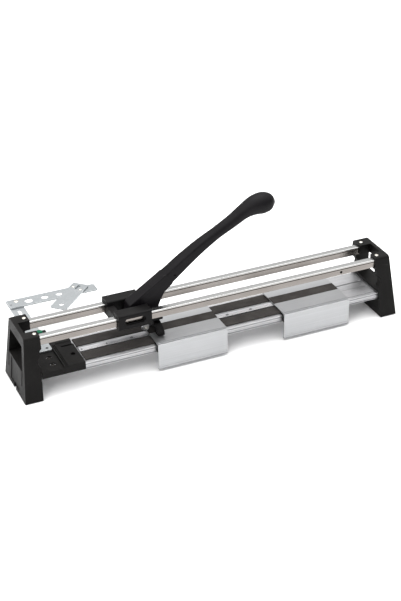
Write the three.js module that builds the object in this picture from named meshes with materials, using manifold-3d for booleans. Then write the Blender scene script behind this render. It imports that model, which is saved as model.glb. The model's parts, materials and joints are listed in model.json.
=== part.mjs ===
// Manual tile cutter: two moulded end blocks, two slide rails, an aluminium base with rubber pads and a
// breaking ridge, a carriage with its lever, cutting wheel and breaker foot, a swivelling steel fence
// and two support wings. Millimetres, +Z up, +X along the rails, the user stands at -Y.
import * as THREE from 'three';
import { mergeVertices } from 'three/addons/utils/BufferGeometryUtils.js';
import Module from 'manifold-3d';

const wasm = await Module();
wasm.setup();

// ---- Driving dimensions ---------------------------------------------------------------------------

const overallLength = 780;
const seatGap = 0.3;
const slideGap = 0.4;

const block = {
  bottomWidth: 35, topWidth: 27, lean: 12, bottomDepth: 128, topDepth: 90, height: 128,
  web: 8, column: 13, sillHeight: 58, topBar: 20, bossReach: 4, bossHeight: 30, lift: 1, wall: 4,
};
const cutY = -5;
const rail = { spread: 31, width: 14, height: 17.4, cover: 5, crown: 4, endInset: 20 };
const base = { frontY: -52, width: 97, topHeight: 52, thickness: 14, skin: 3, endInset: 27 };
const grooveWidth = 4;
const pad = { thickness: 2.6, frontY: -43, frontWidth: 27.5, rearY: 8, rearWidth: 28 };
const padStart = 127;
const ridge = { width: 17, rise: 4.7, apex: 2 };
const padEndFromRight = 130;
const plate = {
  start: 38.5, end: 123, depthOver: 3, floor: 2, platformRise: 5.6, skirt: 11, hole: 4.6, sink: 0.9,
};
const carrier = { left: 53.5, width: 28, thickness: 3, frontY: 12, rearY: 226, corner: 4 };
const fence = {
  thickness: 3, width: 32, pivotX: 72, pivotY: 211, rearMargin: 9, tipX: 236, swivelHole: 5, endMargin: 18,
};
const knob = { radius: 6.2, height: 5.5, backset: 20, bridgeDepth: 22, bridgeHeight: 6, screw: 4 };
const wing = {
  length: 143, plate: 2.5, depth: 102, overhang: 10, apron: 2, bottomGap: 4, stripWidth: 26, strip: 1.2,
};
const carriage = { start: 193, length: 66, wall: 4.6, top: 8, bush: 2, bushLength: 13, slotHeight: 11 };
const lever = { width: 27, rootGap: 1, pivotX: 232, pivotDrop: 11, pinRadius: 4 };
const wheel = { radius: 8, thickness: 3, aheadOfPivot: 30, height: 5, bore: 3, holder: 9 };
const breaker = { aheadOfPivot: 50, width: 62, thickness: 14, height: 7.4, shoulder: 0.48, pinRadius: 3 };
const screw = { headRadius: 3.9, headHeight: 2.6, shankRadius: 2, baseLength: 14, landing: 5 };
const foot = { radius: 8, height: 4 };

// ---- Worked-out places ----------------------------------------------------------------------------

const leftX = -overallLength / 2;
const rightX = overallLength / 2;
const railTop = block.height - rail.cover;
const railBottom = railTop - rail.height;
const railYs = { front: cutY - rail.spread, rear: cutY + rail.spread };
const baseRearY = base.frontY + base.width;
const baseBottom = base.topHeight - base.thickness;
const padTop = base.topHeight + pad.thickness;
const ridgeTop = base.topHeight + ridge.rise;
const windowTop = block.height - block.topBar;
const bossEnd = block.lean + block.topWidth + block.bossReach;
const plateTop = base.topHeight + plate.floor;
const platformTop = base.topHeight + plate.platformRise;
const pivot = { x: leftX + lever.pivotX, z: railTop - lever.pivotDrop };
const wheelCentre = { x: pivot.x + wheel.aheadOfPivot, z: ridgeTop + wheel.height + wheel.radius };
const breakerX = pivot.x + breaker.aheadOfPivot;
const breakerBottom = padTop + breaker.height;
const breakerPin = { x: breakerX, z: railBottom - 4 };
const breakerRise = (breakerPin.z - breakerBottom) * breaker.shoulder;
const leverRootBottom = breakerBottom + breakerRise + 5;
const wingBottom = ridgeTop + seatGap;
const wingTop = wingBottom + wing.plate;
const wingFrontY = base.frontY - wing.overhang;

// ---- Solids from three.js geometry ----------------------------------------------------------------

const solidOf = (geometry) => {
  const plain = geometry.clone();
  plain.deleteAttribute('normal');
  plain.deleteAttribute('uv');
  const merged = mergeVertices(plain, 1e-4);
  return new wasm.Manifold(new wasm.Mesh({
    numProp: 3,
    vertProperties: new Float32Array(merged.attributes.position.array),
    triVerts: new Uint32Array(merged.index.array),
  }));
};

const geometryOf = (solid) => {
  const mesh = solid.getMesh();
  const geometry = new THREE.BufferGeometry();
  geometry.setAttribute('position', new THREE.BufferAttribute(mesh.vertProperties, 3));
  geometry.setIndex(new THREE.BufferAttribute(mesh.triVerts, 1));
  return geometry;
};

const join = (first, ...others) =>
  geometryOf(others.reduce((sum, other) => sum.add(solidOf(other)), solidOf(first)));

const cut = (body, ...tools) =>
  geometryOf(tools.reduce((left, tool) => left.subtract(solidOf(tool)), solidOf(body)));

const common = (first, second) => geometryOf(solidOf(first).intersect(solidOf(second)));

const box = (x0, x1, y0, y1, z0, z1) => {
  const geometry = new THREE.BoxGeometry(x1 - x0, y1 - y0, z1 - z0);
  return geometry.translate((x0 + x1) / 2, (y0 + y1) / 2, (z0 + z1) / 2);
};

// A bar whose outline lies across one axis and which runs along that axis from one value to another.
// Outlines are (y, z) along X, (x, z) along Y and (x, y) along Z.
const axes = {
  x: new THREE.Matrix4().set(0, 0, 1, 0, 1, 0, 0, 0, 0, 1, 0, 0, 0, 0, 0, 1),
  y: new THREE.Matrix4().set(1, 0, 0, 0, 0, 0, -1, 0, 0, 1, 0, 0, 0, 0, 0, 1),
  z: new THREE.Matrix4(),
};

const bar = (axis, shape, from, to, curveSegments = 6) => {
  const depth = to - from;
  const geometry = new THREE.ExtrudeGeometry(shape, { depth, bevelEnabled: false, curveSegments });
  geometry.translate(0, 0, axis === 'y' ? -to : from);
  return geometry.applyMatrix4(axes[axis]);
};

const outline = (points) => new THREE.Shape(points.map(([a, b]) => new THREE.Vector2(a, b)));

const roundedRect = (a0, a1, b0, b1, radius) => {
  const shape = new THREE.Shape();
  shape.moveTo(a0 + radius, b0);
  shape.lineTo(a1 - radius, b0);
  shape.absarc(a1 - radius, b0 + radius, radius, -Math.PI / 2, 0);
  shape.lineTo(a1, b1 - radius);
  shape.absarc(a1 - radius, b1 - radius, radius, 0, Math.PI / 2);
  shape.lineTo(a0 + radius, b1);
  shape.absarc(a0 + radius, b1 - radius, radius, Math.PI / 2, Math.PI);
  shape.lineTo(a0, b0 + radius);
  shape.absarc(a0 + radius, b0 + radius, radius, Math.PI, Math.PI * 1.5);
  return shape;
};

const slotShape = (a0, a1, b0, b1) => roundedRect(a0, a1, b0, b1, (b1 - b0) / 2 - 0.01);

// A round bar along an axis, centred on two coordinates in the order of that axis's outline.
const rod = (axis, radius, from, to, [a, b], segments = 16) => {
  const shape = new THREE.Shape();
  shape.absarc(a, b, radius, 0, Math.PI * 2);
  return bar(axis, shape, from, to, segments);
};

// A round piece turned about the Z direction through (x, y), from (radius, height) pairs.
const turned = (profile, x, y, z, segments = 20) => {
  const points = profile.map(([radius, height]) => new THREE.Vector2(radius, height));
  const geometry = new THREE.LatheGeometry(points, segments);
  return geometry.rotateX(Math.PI / 2).translate(x, y, z);
};

const mirrorX = (geometry) => {
  const flipped = geometry.clone().applyMatrix4(new THREE.Matrix4().makeScale(-1, 1, 1));
  const index = flipped.index.array;
  for (let i = 0; i < index.length; i += 3) {
    [index[i], index[i + 1]] = [index[i + 1], index[i]];
  }
  return flipped;
};

const sides = [['left', (g) => g], ['right', mirrorX]];

// ---- Finishes -------------------------------------------------------------------------------------

const finish = (color, metalness, roughness) => () =>
  new THREE.MeshStandardMaterial({ color, metalness, roughness });

const blackPlastic = finish(0x2b2927, 0, 0.5);
const blackNylon = finish(0x1c1a1c, 0, 0.6);
const aluminium = finish(0xb6b7ba, 1, 0.38);
const brushedSteel = finish(0xa8a29c, 1, 0.3);
const galvanised = finish(0xb9bcbf, 1, 0.45);
const zinc = finish(0xc9c6be, 1, 0.32);
const rubber = finish(0x4b4846, 0, 0.85);
const carbide = finish(0x8d8f93, 1, 0.25);
const darkBush = finish(0x232120, 0, 0.45);
const greenPlastic = finish(0x1f9a5c, 0, 0.45);

const group = new THREE.Group();

const add = (name, geometry, material) => {
  const mesh = new THREE.Mesh(geometry, material());
  mesh.name = name;
  group.add(mesh);
  return mesh;
};

// ---- End blocks -----------------------------------------------------------------------------------

// Half the depth of a block at height z: the sides taper from the foot to the top.
const blockHalfDepth = (z) =>
  block.bottomDepth / 2 - (block.bottomDepth - block.topDepth) / 2 * z / block.height;

// How far the outer face leans in at height z.
const blockLean = (z) => block.lean * z / block.height;

function blockEnvelope() {
  const halfTop = blockHalfDepth(block.height);
  const halfFoot = blockHalfDepth(block.lift);
  const round = 6;
  const side = new THREE.Shape();
  side.moveTo(-halfFoot, block.lift);
  side.lineTo(halfFoot, block.lift);
  side.lineTo(blockHalfDepth(block.height - round), block.height - round);
  side.quadraticCurveTo(halfTop, block.height, halfTop - round, block.height);
  side.lineTo(-halfTop + round, block.height);
  side.quadraticCurveTo(-halfTop, block.height, -blockHalfDepth(block.height - round), block.height - round);
  const front = outline([
    [leftX + blockLean(block.lift), block.lift],
    [leftX + block.bottomWidth, block.lift],
    [leftX + block.lean + block.topWidth, block.height - block.bossHeight],
    [leftX + bossEnd, block.height - block.bossHeight + block.bossReach],
    [leftX + bossEnd, block.height],
    [leftX + block.lean, block.height],
  ]);
  const widest = blockHalfDepth(0) + 1;
  return common(bar('x', side, leftX - 1, leftX + bossEnd + 1, 4), bar('y', front, -widest, widest));
}

// The window through the upper half of the outer web, and the open pocket behind it.
function blockWindow() {
  const inset = (z) => blockHalfDepth(z) - block.column;
  const low = block.sillHeight;
  const high = windowTop;
  const opening = outline([[-inset(low), low], [inset(low), low], [inset(high), high], [-inset(high), high]]);
  return bar('x', opening, leftX - 1, leftX + bossEnd + 1);
}

function blockPocket() {
  const bossWall = rail.width / 2 + seatGap + block.wall;
  const x0 = leftX + block.lean + block.web;
  const from = railYs.front + bossWall;
  const to = railYs.rear - bossWall;
  return box(x0, leftX + bossEnd + 1, from, to, windowTop - 1, block.height + 1);
}

// The hollow foot: open below, with the base's socket in its inner wall.
function blockFootHollow() {
  const top = baseBottom - block.wall;
  const half = (z) => blockHalfDepth(z) - block.wall - 2;
  const hollow = outline([[-half(0), -1], [half(0), -1], [half(top), top], [-half(top), top]]);
  return bar('x', hollow, leftX + block.web + 1, leftX + block.bottomWidth - block.wall);
}

function baseSocket() {
  const x0 = leftX + base.endInset - seatGap;
  const g = seatGap;
  return box(x0, leftX + bossEnd + 1, base.frontY - g, baseRearY + g, baseBottom - g, base.topHeight + g);
}

function railSocket(y) {
  const half = rail.width / 2 + seatGap;
  const x0 = leftX + rail.endInset - seatGap;
  return box(x0, leftX + bossEnd + 1, y - half, y + half, railBottom - seatGap, railTop + seatGap);
}

const railScrewX = leftX + bossEnd - 7.5;
const screwSeatX = leftX + base.endInset - screw.landing;
const baseScrewZ = baseBottom + base.thickness / 2;
const baseScrewYs = { front: base.frontY + 22, rear: baseRearY - 22 };
const footPlaces = { front: -block.bottomDepth / 2 + 16, rear: block.bottomDepth / 2 - 16 };
const footX = leftX + block.bottomWidth / 2 + 1;

// The recess, slits and cable notch of the outer face below the window.
function outerFaceRelief() {
  const sill = block.sillHeight;
  const slitHalf = blockHalfDepth(sill) - block.column;
  const slit = (sign) => {
    const y0 = sign > 0 ? slitHalf - 4 : -slitHalf;
    return box(leftX - 1, leftX + block.web - 1, y0, y0 + 4, 27, sill + 1);
  };
  const notch = bar('x', roundedRect(-6, 6, -8, 12, 3), leftX - 1, leftX + block.web + 2, 3);
  return [slit(1), slit(-1), notch];
}

// A rounded bite out of the column's inner edge between base and rail.
function columnBite() {
  const x = leftX + block.lean + block.topWidth + 7;
  const widest = blockHalfDepth(0) + 1;
  return rod('y', 13, -widest, widest, [x, (base.topHeight + railBottom) / 2 - 2], 12);
}

function endBlock() {
  const screwHoles = Object.values(railYs).map((y) =>
    rod('z', screw.shankRadius + seatGap, railTop - 1, block.height + 1, [railScrewX, y], 8));
  const baseHoles = Object.values(baseScrewYs).map((y) =>
    rod('x', screw.shankRadius + seatGap, leftX + block.web, leftX + bossEnd, [y, baseScrewZ], 8));
  const access = Object.values(baseScrewYs).map((y) =>
    rod('x', screw.headRadius + 1.5, leftX + block.web + 1, screwSeatX, [y, baseScrewZ], 8));
  const footPockets = Object.values(footPlaces).map((y) =>
    rod('z', foot.radius + seatGap, -1, foot.height + seatGap, [footX, y], 16));
  const footBosses = Object.values(footPlaces).map((y) =>
    rod('z', foot.radius + 3, block.lift, foot.height + 4, [footX, y], 16));
  const shell = cut(blockEnvelope(), blockFootHollow());
  const bossed = join(shell, ...footBosses.map((boss) => common(boss, blockEnvelope())));
  return cut(bossed, blockWindow(), blockPocket(), baseSocket(), ...Object.values(railYs).map(railSocket),
    ...screwHoles, ...baseHoles, ...access, ...footPockets, ...outerFaceRelief(), columnBite());
}

// A cross-head screw about Z: pan head above z, shank below.
function panScrew(x, y, z, shankLength) {
  const r = screw.headRadius;
  const profile = [
    [0, -shankLength], [screw.shankRadius, -shankLength], [screw.shankRadius, 0], [r, 0], [r, 1],
    [r * 0.8, screw.headHeight * 0.85], [0, screw.headHeight],
  ];
  const body = turned(profile, x, y, z, 12);
  const top = z + screw.headHeight;
  const slotA = box(x - r * 0.55, x + r * 0.55, y - 0.5, y + 0.5, top - 1.1, top + 1);
  const slotB = box(x - 0.5, x + 0.5, y - r * 0.55, y + r * 0.55, top - 1.1, top + 1);
  return cut(body, slotA, slotB);
}

// The same screw lying along X, its head facing -X.
function sideScrew(x, y, z, shankLength) {
  const screwGeometry = panScrew(0, 0, 0, shankLength);
  return screwGeometry.rotateY(-Math.PI / 2).translate(x, y, z);
}

function rubberFoot(x, y) {
  const r = foot.radius;
  const profile = [[0, 0], [r - 1.5, 0], [r, 1.5], [r, foot.height], [0, foot.height]];
  return turned(profile, x, y, 0, 20);
}

for (const [side, place] of sides) {
  add(`${side}_end_block`, place(endBlock()), blackPlastic);
  for (const [end, y] of Object.entries(railYs)) {
    const length = block.height - railTop - 1;
    add(`rail_screw_${side}_${end}`, place(panScrew(railScrewX, y, block.height + seatGap, length)), zinc);
  }
  for (const [end, y] of Object.entries(baseScrewYs)) {
    const seated = sideScrew(screwSeatX - seatGap, y, baseScrewZ, screw.baseLength);
    add(`base_screw_${side}_${end}`, place(seated), zinc);
  }
  for (const [end, y] of Object.entries(footPlaces)) {
    add(`foot_${side}_${end}`, place(rubberFoot(footX, y)), rubber);
  }
}

// ---- Rails ----------------------------------------------------------------------------------------

// A flat-sided bar with a rounded crown and eased lower edges.
function railShape(y) {
  const half = rail.width / 2;
  const shape = new THREE.Shape();
  shape.moveTo(y - half + 1, railBottom);
  shape.lineTo(y + half - 1, railBottom);
  shape.lineTo(y + half, railBottom + 1);
  shape.lineTo(y + half, railTop - rail.crown);
  shape.quadraticCurveTo(y + half, railTop, y + half - rail.crown, railTop);
  shape.lineTo(y - half + rail.crown, railTop);
  shape.quadraticCurveTo(y - half, railTop, y - half, railTop - rail.crown);
  shape.lineTo(y - half, railBottom + 1);
  return shape;
}

const stopHole = { x: rightX - 118, z: railBottom + rail.height * 0.56, radius: 2.8 };

for (const [end, y] of Object.entries(railYs)) {
  const body = bar('x', railShape(y), leftX + rail.endInset, rightX - rail.endInset, 5);
  const half = rail.width / 2;
  const hole = rod('y', stopHole.radius, y - half - 1, y + half + 1, [stopHole.x, stopHole.z], 10);
  add(`${end}_rail`, end === 'front' ? cut(body, hole) : body, brushedSteel);
}

// ---- Base, pads and breaking ridge ----------------------------------------------------------------

const baseStart = leftX + base.endInset;
const baseEnd = rightX - base.endInset;
const hookGroove = { low: baseBottom + 4, high: baseBottom + 8, depth: 5 };

// The deck outline runs over the top from the front edge to the rear one, with its lengthwise grooves.
function baseShape() {
  const top = base.topHeight;
  const front = base.frontY;
  const deckGrooves = [pad.frontY - 2, pad.frontY + pad.frontWidth + 0.3, pad.rearY - grooveWidth];
  const widths = [1.8, 1, grooveWidth - 0.5];
  const points = [[front, baseBottom], [baseRearY, baseBottom], [baseRearY, top]];
  for (let i = deckGrooves.length - 1; i >= 0; i -= 1) {
    const y0 = deckGrooves[i];
    const y1 = y0 + widths[i];
    points.push([y1, top], [y1, top - 1.5], [y0, top - 1.5], [y0, top]);
  }
  points.push([front, top], [front, hookGroove.high]);
  points.push([front + hookGroove.depth, hookGroove.high], [front + hookGroove.depth, hookGroove.low]);
  points.push([front, hookGroove.low]);
  return outline(points);
}

function baseCells() {
  const low = baseBottom + base.skin;
  const high = base.topHeight - base.skin;
  const first = base.frontY + hookGroove.depth + base.skin;
  const ports = Object.values(baseScrewYs).map((y) => [y - 4, y + 4]);
  const edges = [first, ports[0][0], ports[0][1], ports[1][0], ports[1][1], baseRearY - base.skin];
  const cells = [];
  for (let i = 0; i < edges.length; i += 2) {
    cells.push(box(baseStart - 1, baseEnd + 1, edges[i], edges[i + 1], low, high));
  }
  return cells;
}

function baseExtrusion() {
  const ports = [];
  for (const y of Object.values(baseScrewYs)) {
    ports.push(rod('x', screw.shankRadius + seatGap, baseStart - 1, baseEnd + 1, [y, baseScrewZ], 8));
  }
  return cut(bar('x', baseShape(), baseStart, baseEnd), ...baseCells(), ...ports);
}

function rubberPad(y, width) {
  const shape = roundedRect(y, y + width, base.topHeight + seatGap, padTop, 0.6);
  return bar('x', shape, leftX + padStart, rightX - padEndFromRight, 1);
}

function breakingRidge() {
  const half = ridge.width / 2;
  const low = base.topHeight + seatGap;
  const shoulder = ridgeTop - 1.2;
  const shape = outline([
    [cutY - half, low], [cutY + half, low], [cutY + half, shoulder], [cutY + ridge.apex, ridgeTop],
    [cutY - ridge.apex, ridgeTop], [cutY - half, shoulder],
  ]);
  return bar('x', shape, leftX + padStart, rightX - padEndFromRight);
}

add('base_extrusion', baseExtrusion(), aluminium);
add('front_pad', rubberPad(pad.frontY, pad.frontWidth), rubber);
add('rear_pad', rubberPad(pad.rearY, pad.rearWidth), rubber);
add('breaking_ridge', breakingRidge(), aluminium);

// ---- Fence guide plate ----------------------------------------------------------------------------

const carrierLeft = leftX + carrier.left;
const carrierRight = carrierLeft + carrier.width;
const plateFrontY = base.frontY - plate.depthOver;
const bridgeFrontY = baseRearY + knob.backset - knob.bridgeDepth / 2;
const bridgeRearY = bridgeFrontY + knob.bridgeDepth;
const bridgeTop = plateTop + slideGap + carrier.thickness + slideGap + knob.bridgeHeight;
const knobAt = { x: carrierLeft + carrier.width / 2 + 6, y: baseRearY + knob.backset };
const plateScrews = {
  channel_front: [carrierLeft + carrier.width / 2 - 1, base.frontY + 19],
  channel_rear: [carrierLeft + carrier.width / 2, base.frontY + 44],
  platform: [leftX + plate.end - 12, base.frontY + 33],
};

// The moulding: a floor under the fence carrier, a raised platform beside it, a skirt over the front
// edge of the base and, behind the base, a bridge over the carrier for the clamp screw.
function guidePlate() {
  const x0 = leftX + plate.start;
  const x1 = leftX + plate.end;
  const z0 = base.topHeight + seatGap;
  const left = carrierLeft - slideGap;
  const right = carrierRight + slideGap;
  const body = join(
    box(x0, x1, plateFrontY, bridgeRearY, z0, plateTop),
    box(right, x1, plateFrontY, baseRearY, z0, platformTop),
    box(x0, left, plateFrontY, bridgeRearY, z0, plateTop + 1.6),
    box(x0, x1, plateFrontY, base.frontY - seatGap, base.topHeight - plate.skirt, platformTop - 1.6),
    box(x0, right + 6, bridgeFrontY, bridgeRearY, baseBottom + 6, bridgeTop),
  );
  const tunnelTop = bridgeTop - knob.bridgeHeight;
  const tunnel = box(left, right, bridgeFrontY - 1, bridgeRearY + 1, plateTop, tunnelTop);
  const frontDip = box(left, right, plateFrontY - 1, base.frontY, plateTop, platformTop + 1);
  const scoop = rod('x', 9, x1 - 32, x1 + 1, [baseRearY - 22, platformTop + 5.6], 12);
  const drop = box(right + 30, x1 + 1, baseRearY + seatGap, bridgeRearY + 1, 0, bridgeTop + 1);
  const holes = Object.values(plateScrews).map(([x, y]) =>
    rod('z', screw.shankRadius + seatGap, z0 - 1, platformTop + 1, [x, y], 10));
  const sinks = Object.values(plateScrews).map(([x, y]) =>
    rod('z', plate.hole, plateTop - plate.sink, platformTop + 1, [x, y], 14));
  const clampHole = rod('z', knob.screw / 2 + seatGap, tunnelTop - 1, bridgeTop + 1, [knobAt.x, knobAt.y], 10);
  return cut(body, tunnel, frontDip, scoop, drop, ...holes, ...sinks, clampHole);
}

// A flat-headed screw that sits in the plate and bites into the deck.
function plateScrew(x, y) {
  const low = base.topHeight - 2;
  const seat = plateTop - plate.sink + seatGap;
  const r = screw.shankRadius;
  const under = seat - low;
  const profile = [[0, 0], [r, 0], [r, under], [r * 2, under], [r * 2, under + 0.5], [0, under + 0.5]];
  return turned(profile, x, y, low, 12);
}

const deckHoles = Object.values(plateScrews).map(([x, y]) =>
  rod('z', screw.shankRadius + seatGap, base.topHeight - base.skin - 1, base.topHeight + 1, [x, y], 10));
const deck = group.getObjectByName('base_extrusion');
deck.geometry = cut(deck.geometry, ...deckHoles);

add('fence_guide_plate', guidePlate(), blackPlastic);
for (const [name, [x, y]] of Object.entries(plateScrews)) {
  add(`plate_screw_${name}`, plateScrew(x, y), zinc);
}

// ---- Fence: carrier, swivelling arm and corner plate ----------------------------------------------

const carrierZ = plateTop + slideGap;
const armZ = carrierZ + carrier.thickness + slideGap;
const cornerZ = armZ + fence.thickness + seatGap;
const pivotAt = { x: leftX + fence.pivotX, y: fence.pivotY };

function fenceCarrier() {
  const shape = roundedRect(carrierLeft, carrierRight, carrier.frontY, carrier.rearY, carrier.corner);
  const body = bar('z', shape, carrierZ, carrierZ + carrier.thickness, 4);
  const middle = carrierLeft + carrier.width / 2;
  const z0 = carrierZ - 1;
  const z1 = carrierZ + carrier.thickness + 1;
  const eye = rod('z', 2.6, z0, z1, [middle + 6, carrier.frontY + 9], 12);
  const slot = bar('z', slotShape(-11, 11, -3, 3), z0, z1, 5);
  slot.rotateZ(Math.PI / 2).translate(middle, fence.pivotY - 40, 0);
  const pivotHole = rod('z', fence.swivelHole / 2 + seatGap, z0, z1, [pivotAt.x, pivotAt.y], 16);
  return cut(body, eye, slot, pivotHole);
}

// The arm lies along X; its three holes shrink towards the tip, which steps up by its own thickness.
const armLeft = pivotAt.x - fence.endMargin;
const armTip = leftX + fence.tipX;
const armRearY = fence.pivotY + fence.rearMargin;
const armFrontY = armRearY - fence.width;
const armHoles = [[24, 8.5], [57, 7.5], [87, 6.5]];

function fenceArm() {
  const body = bar('z', roundedRect(armLeft, armTip, armFrontY, armRearY, 5), armZ,
    armZ + fence.thickness, 4);
  const z0 = armZ - 1;
  const z1 = armZ + fence.thickness + 1;
  const middle = armFrontY + fence.width / 2;
  const holes = armHoles.map(([x, r]) => rod('z', r, z0, z1, [pivotAt.x + x, middle], 18));
  const pivotHole = rod('z', fence.swivelHole / 2 + seatGap, z0, z1, [pivotAt.x, pivotAt.y], 16);
  const tipNotch = box(armTip - 22, armTip + 1, armRearY - 6, armRearY + 1, z0, z1);
  const rivets = Object.values(cornerRivets).map(([x, y]) => rod('z', 2 + seatGap, z0, z1, [x, y], 10));
  return cut(body, ...holes, pivotHole, tipNotch, ...rivets);
}

// The corner plate is a strip at 45 degrees that reaches from the arm's tip towards the base.
const corner = { length: 106, width: 35, x: armTip - 62, y: armFrontY - 6 };
const onCorner = (along, across) =>
  [corner.x + (along + across) * Math.SQRT1_2, corner.y + (along - across) * Math.SQRT1_2];
const cornerRivets = { outer: onCorner(30, 9.5), inner: onCorner(36, -9.5) };

function cornerPlate() {
  const half = corner.length / 2;
  const z0 = cornerZ;
  const z1 = cornerZ + fence.thickness - 0.5;
  const strip = bar('z', roundedRect(-half, half, -corner.width / 2, corner.width / 2, 5), z0, z1, 4);
  const slot = bar('z', slotShape(half - 25, half - 7, -3, 3), z0 - 1, z1 + 1, 5);
  const hole = rod('z', 5, z0 - 1, z1 + 1, [-half + 17, 0], 16);
  const plateGeometry = cut(strip, slot, hole).rotateZ(Math.PI / 4).translate(corner.x, corner.y, 0);
  const holes = Object.values(cornerRivets).map(([x, y]) => rod('z', 2 + seatGap, z0 - 1, z1 + 1, [x, y], 10));
  return cut(plateGeometry, ...holes);
}

// A rivet with a low head above the stack and a formed head below it.
function rivet(x, y, low, high, shank, head) {
  const profile = [
    [0, low - 1.2], [head * 0.8, low - 1.2], [head, low - seatGap], [shank, low - seatGap],
    [shank, high + seatGap], [head, high + seatGap], [head * 0.8, high + 1.3], [0, high + 1.5],
  ];
  return turned(profile, x, y, 0, 14);
}

add('fence_carrier', fenceCarrier(), galvanised);
add('fence_arm', fenceArm(), galvanised);
add('fence_corner_plate', cornerPlate(), galvanised);
const swivelTop = armZ + fence.thickness;
add('fence_pivot_pin', rivet(pivotAt.x, pivotAt.y, carrierZ, swivelTop, fence.swivelHole / 2, 5), zinc);
for (const [name, [x, y]] of Object.entries(cornerRivets)) {
  add(`corner_rivet_${name}`, rivet(x, y, armZ, cornerZ + fence.thickness - 0.5, 2, 3.4), zinc);
}

// ---- Fence clamp knob -----------------------------------------------------------------------------

function clampKnob() {
  const lobes = 6;
  const shape = new THREE.Shape();
  const steps = 36;
  for (let i = 0; i <= steps; i += 1) {
    const angle = i / steps * Math.PI * 2;
    const radius = knob.radius - 0.9 + 0.9 * Math.cos(angle * lobes);
    const x = radius * Math.cos(angle);
    const y = radius * Math.sin(angle);
    if (i === 0) shape.moveTo(x, y);
    else if (i < steps) shape.lineTo(x, y);
  }
  const z0 = bridgeTop + 1;
  const body = bar('z', shape, z0, z0 + knob.height).translate(knobAt.x, knobAt.y, 0);
  const bore = rod('z', knob.screw / 2 + seatGap, z0 - 1, z0 + knob.height - 2, [knobAt.x, knobAt.y], 10);
  return cut(body, bore);
}

const clampLength = bridgeTop + 1 + knob.height - 2.3 - (carrierZ + carrier.thickness + slideGap);
add('fence_clamp_knob', clampKnob(), greenPlastic);
add('fence_clamp_screw', rod('z', knob.screw / 2, bridgeTop + knob.height - 1.3 - clampLength,
  bridgeTop + knob.height - 1.3, [knobAt.x, knobAt.y], 12), zinc);

// ---- Carriage -------------------------------------------------------------------------------------

const carriageStart = leftX + carriage.start;
const carriageEnd = carriageStart + carriage.length;
const sleeveHalf = rail.width / 2 + slideGap + carriage.bush + seatGap + carriage.wall;
const sleeveTop = railTop + carriage.top;
const sleeveBottom = railBottom - slideGap - carriage.bush - seatGap - 3;
const rootHalf = lever.width / 2 + lever.rootGap;

function sleeve(y) {
  const outer = roundedRect(y - sleeveHalf, y + sleeveHalf, sleeveBottom, sleeveTop, 4);
  return bar('x', outer, carriageStart, carriageEnd, 3);
}

function sleeveBore(y) {
  const half = rail.width / 2 + slideGap + carriage.bush + seatGap;
  const low = railBottom - slideGap - carriage.bush - seatGap;
  const high = railTop + slideGap + carriage.bush + seatGap;
  return box(carriageStart - 1, carriageEnd + 1, y - half, y + half, low, high);
}

function sideWindow(y, outward) {
  const margin = carriage.bushLength + 1;
  const z = railBottom + rail.height * 0.62;
  const h = carriage.slotHeight / 2;
  const shape = slotShape(carriageStart + margin, carriageEnd - margin, z - h, z + h);
  const from = outward < 0 ? y - sleeveHalf - 1 : y + rail.width / 2 + 1;
  const to = outward < 0 ? y - rail.width / 2 - 1 : y + sleeveHalf + 1;
  return bar('y', shape, from, to, 6);
}

function carriageBody() {
  const inner0 = railYs.front + sleeveHalf - 1;
  const inner1 = railYs.rear - sleeveHalf + 1;
  const bridge = box(carriageStart, carriageStart + 14, inner0, inner1, sleeveBottom, sleeveTop - 10);
  const pinHole = rod('y', lever.pinRadius + seatGap, cutY - rootHalf - 6, cutY + rootHalf + 6,
    [pivot.x, pivot.z], 16);
  const shell = join(sleeve(railYs.front), sleeve(railYs.rear), bridge);
  return cut(shell, sleeveBore(railYs.front), sleeveBore(railYs.rear), pinHole,
    sideWindow(railYs.front, -1), sideWindow(railYs.rear, 1));
}

// A slide bush: a short square tube between sleeve and rail.
function slideBush(x, y) {
  const outerHalf = rail.width / 2 + slideGap + carriage.bush;
  const innerHalf = rail.width / 2 + slideGap;
  const low = railBottom - slideGap;
  const high = railTop + slideGap;
  const t = carriage.bush;
  const outer = box(x, x + carriage.bushLength, y - outerHalf, y + outerHalf, low - t, high + t);
  return cut(outer, box(x - 1, x + carriage.bushLength + 1, y - innerHalf, y + innerHalf, low, high));
}

add('carriage_body', carriageBody(), blackPlastic);
for (const [end, y] of Object.entries(railYs)) {
  add(`slide_bush_${end}_left`, slideBush(carriageStart + 0.5, y), darkBush);
  add(`slide_bush_${end}_right`, slideBush(carriageEnd - carriage.bushLength - 0.5, y), darkBush);
}

// ---- Lever, wheel and breaker foot ----------------------------------------------------------------

// The lever's root in its side view, in X and Z from the pivot; the shank and the ball grip rise from it.
const breakerSlot = 6;
const holderBolt = { x: pivot.x + 20, z: pivot.z - 3.5, radius: 2.5 };

// Stations of the shank and grip from the pivot: place, half height, half width and squareness.
const shank = [
  { x: 50, z: 39, high: 12.8, wide: 13.4, square: 1 },
  { x: 78, z: 58.5, high: 12, wide: 13.4, square: 0.9 },
  { x: 112, z: 82, high: 10.9, wide: 12.9, square: 0.6 },
  { x: 146, z: 105, high: 10.6, wide: 12, square: 0.2 },
  { x: 180, z: 124.5, high: 11.7, wide: 11.7, square: 0 },
  { x: 212, z: 142, high: 12.8, wide: 12.6, square: 0 },
  { x: 236, z: 155, high: 15.6, wide: 15.2, square: 0 },
  { x: 256, z: 164, high: 20, wide: 19.2, square: 0 },
  { x: 274, z: 167.6, high: 21.2, wide: 20.6, square: 0 },
  { x: 290, z: 166.5, high: 16.8, wide: 16.6, square: 0 },
  { x: 299.5, z: 165, high: 5.5, wide: 5.5, square: 0 },
];

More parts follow.
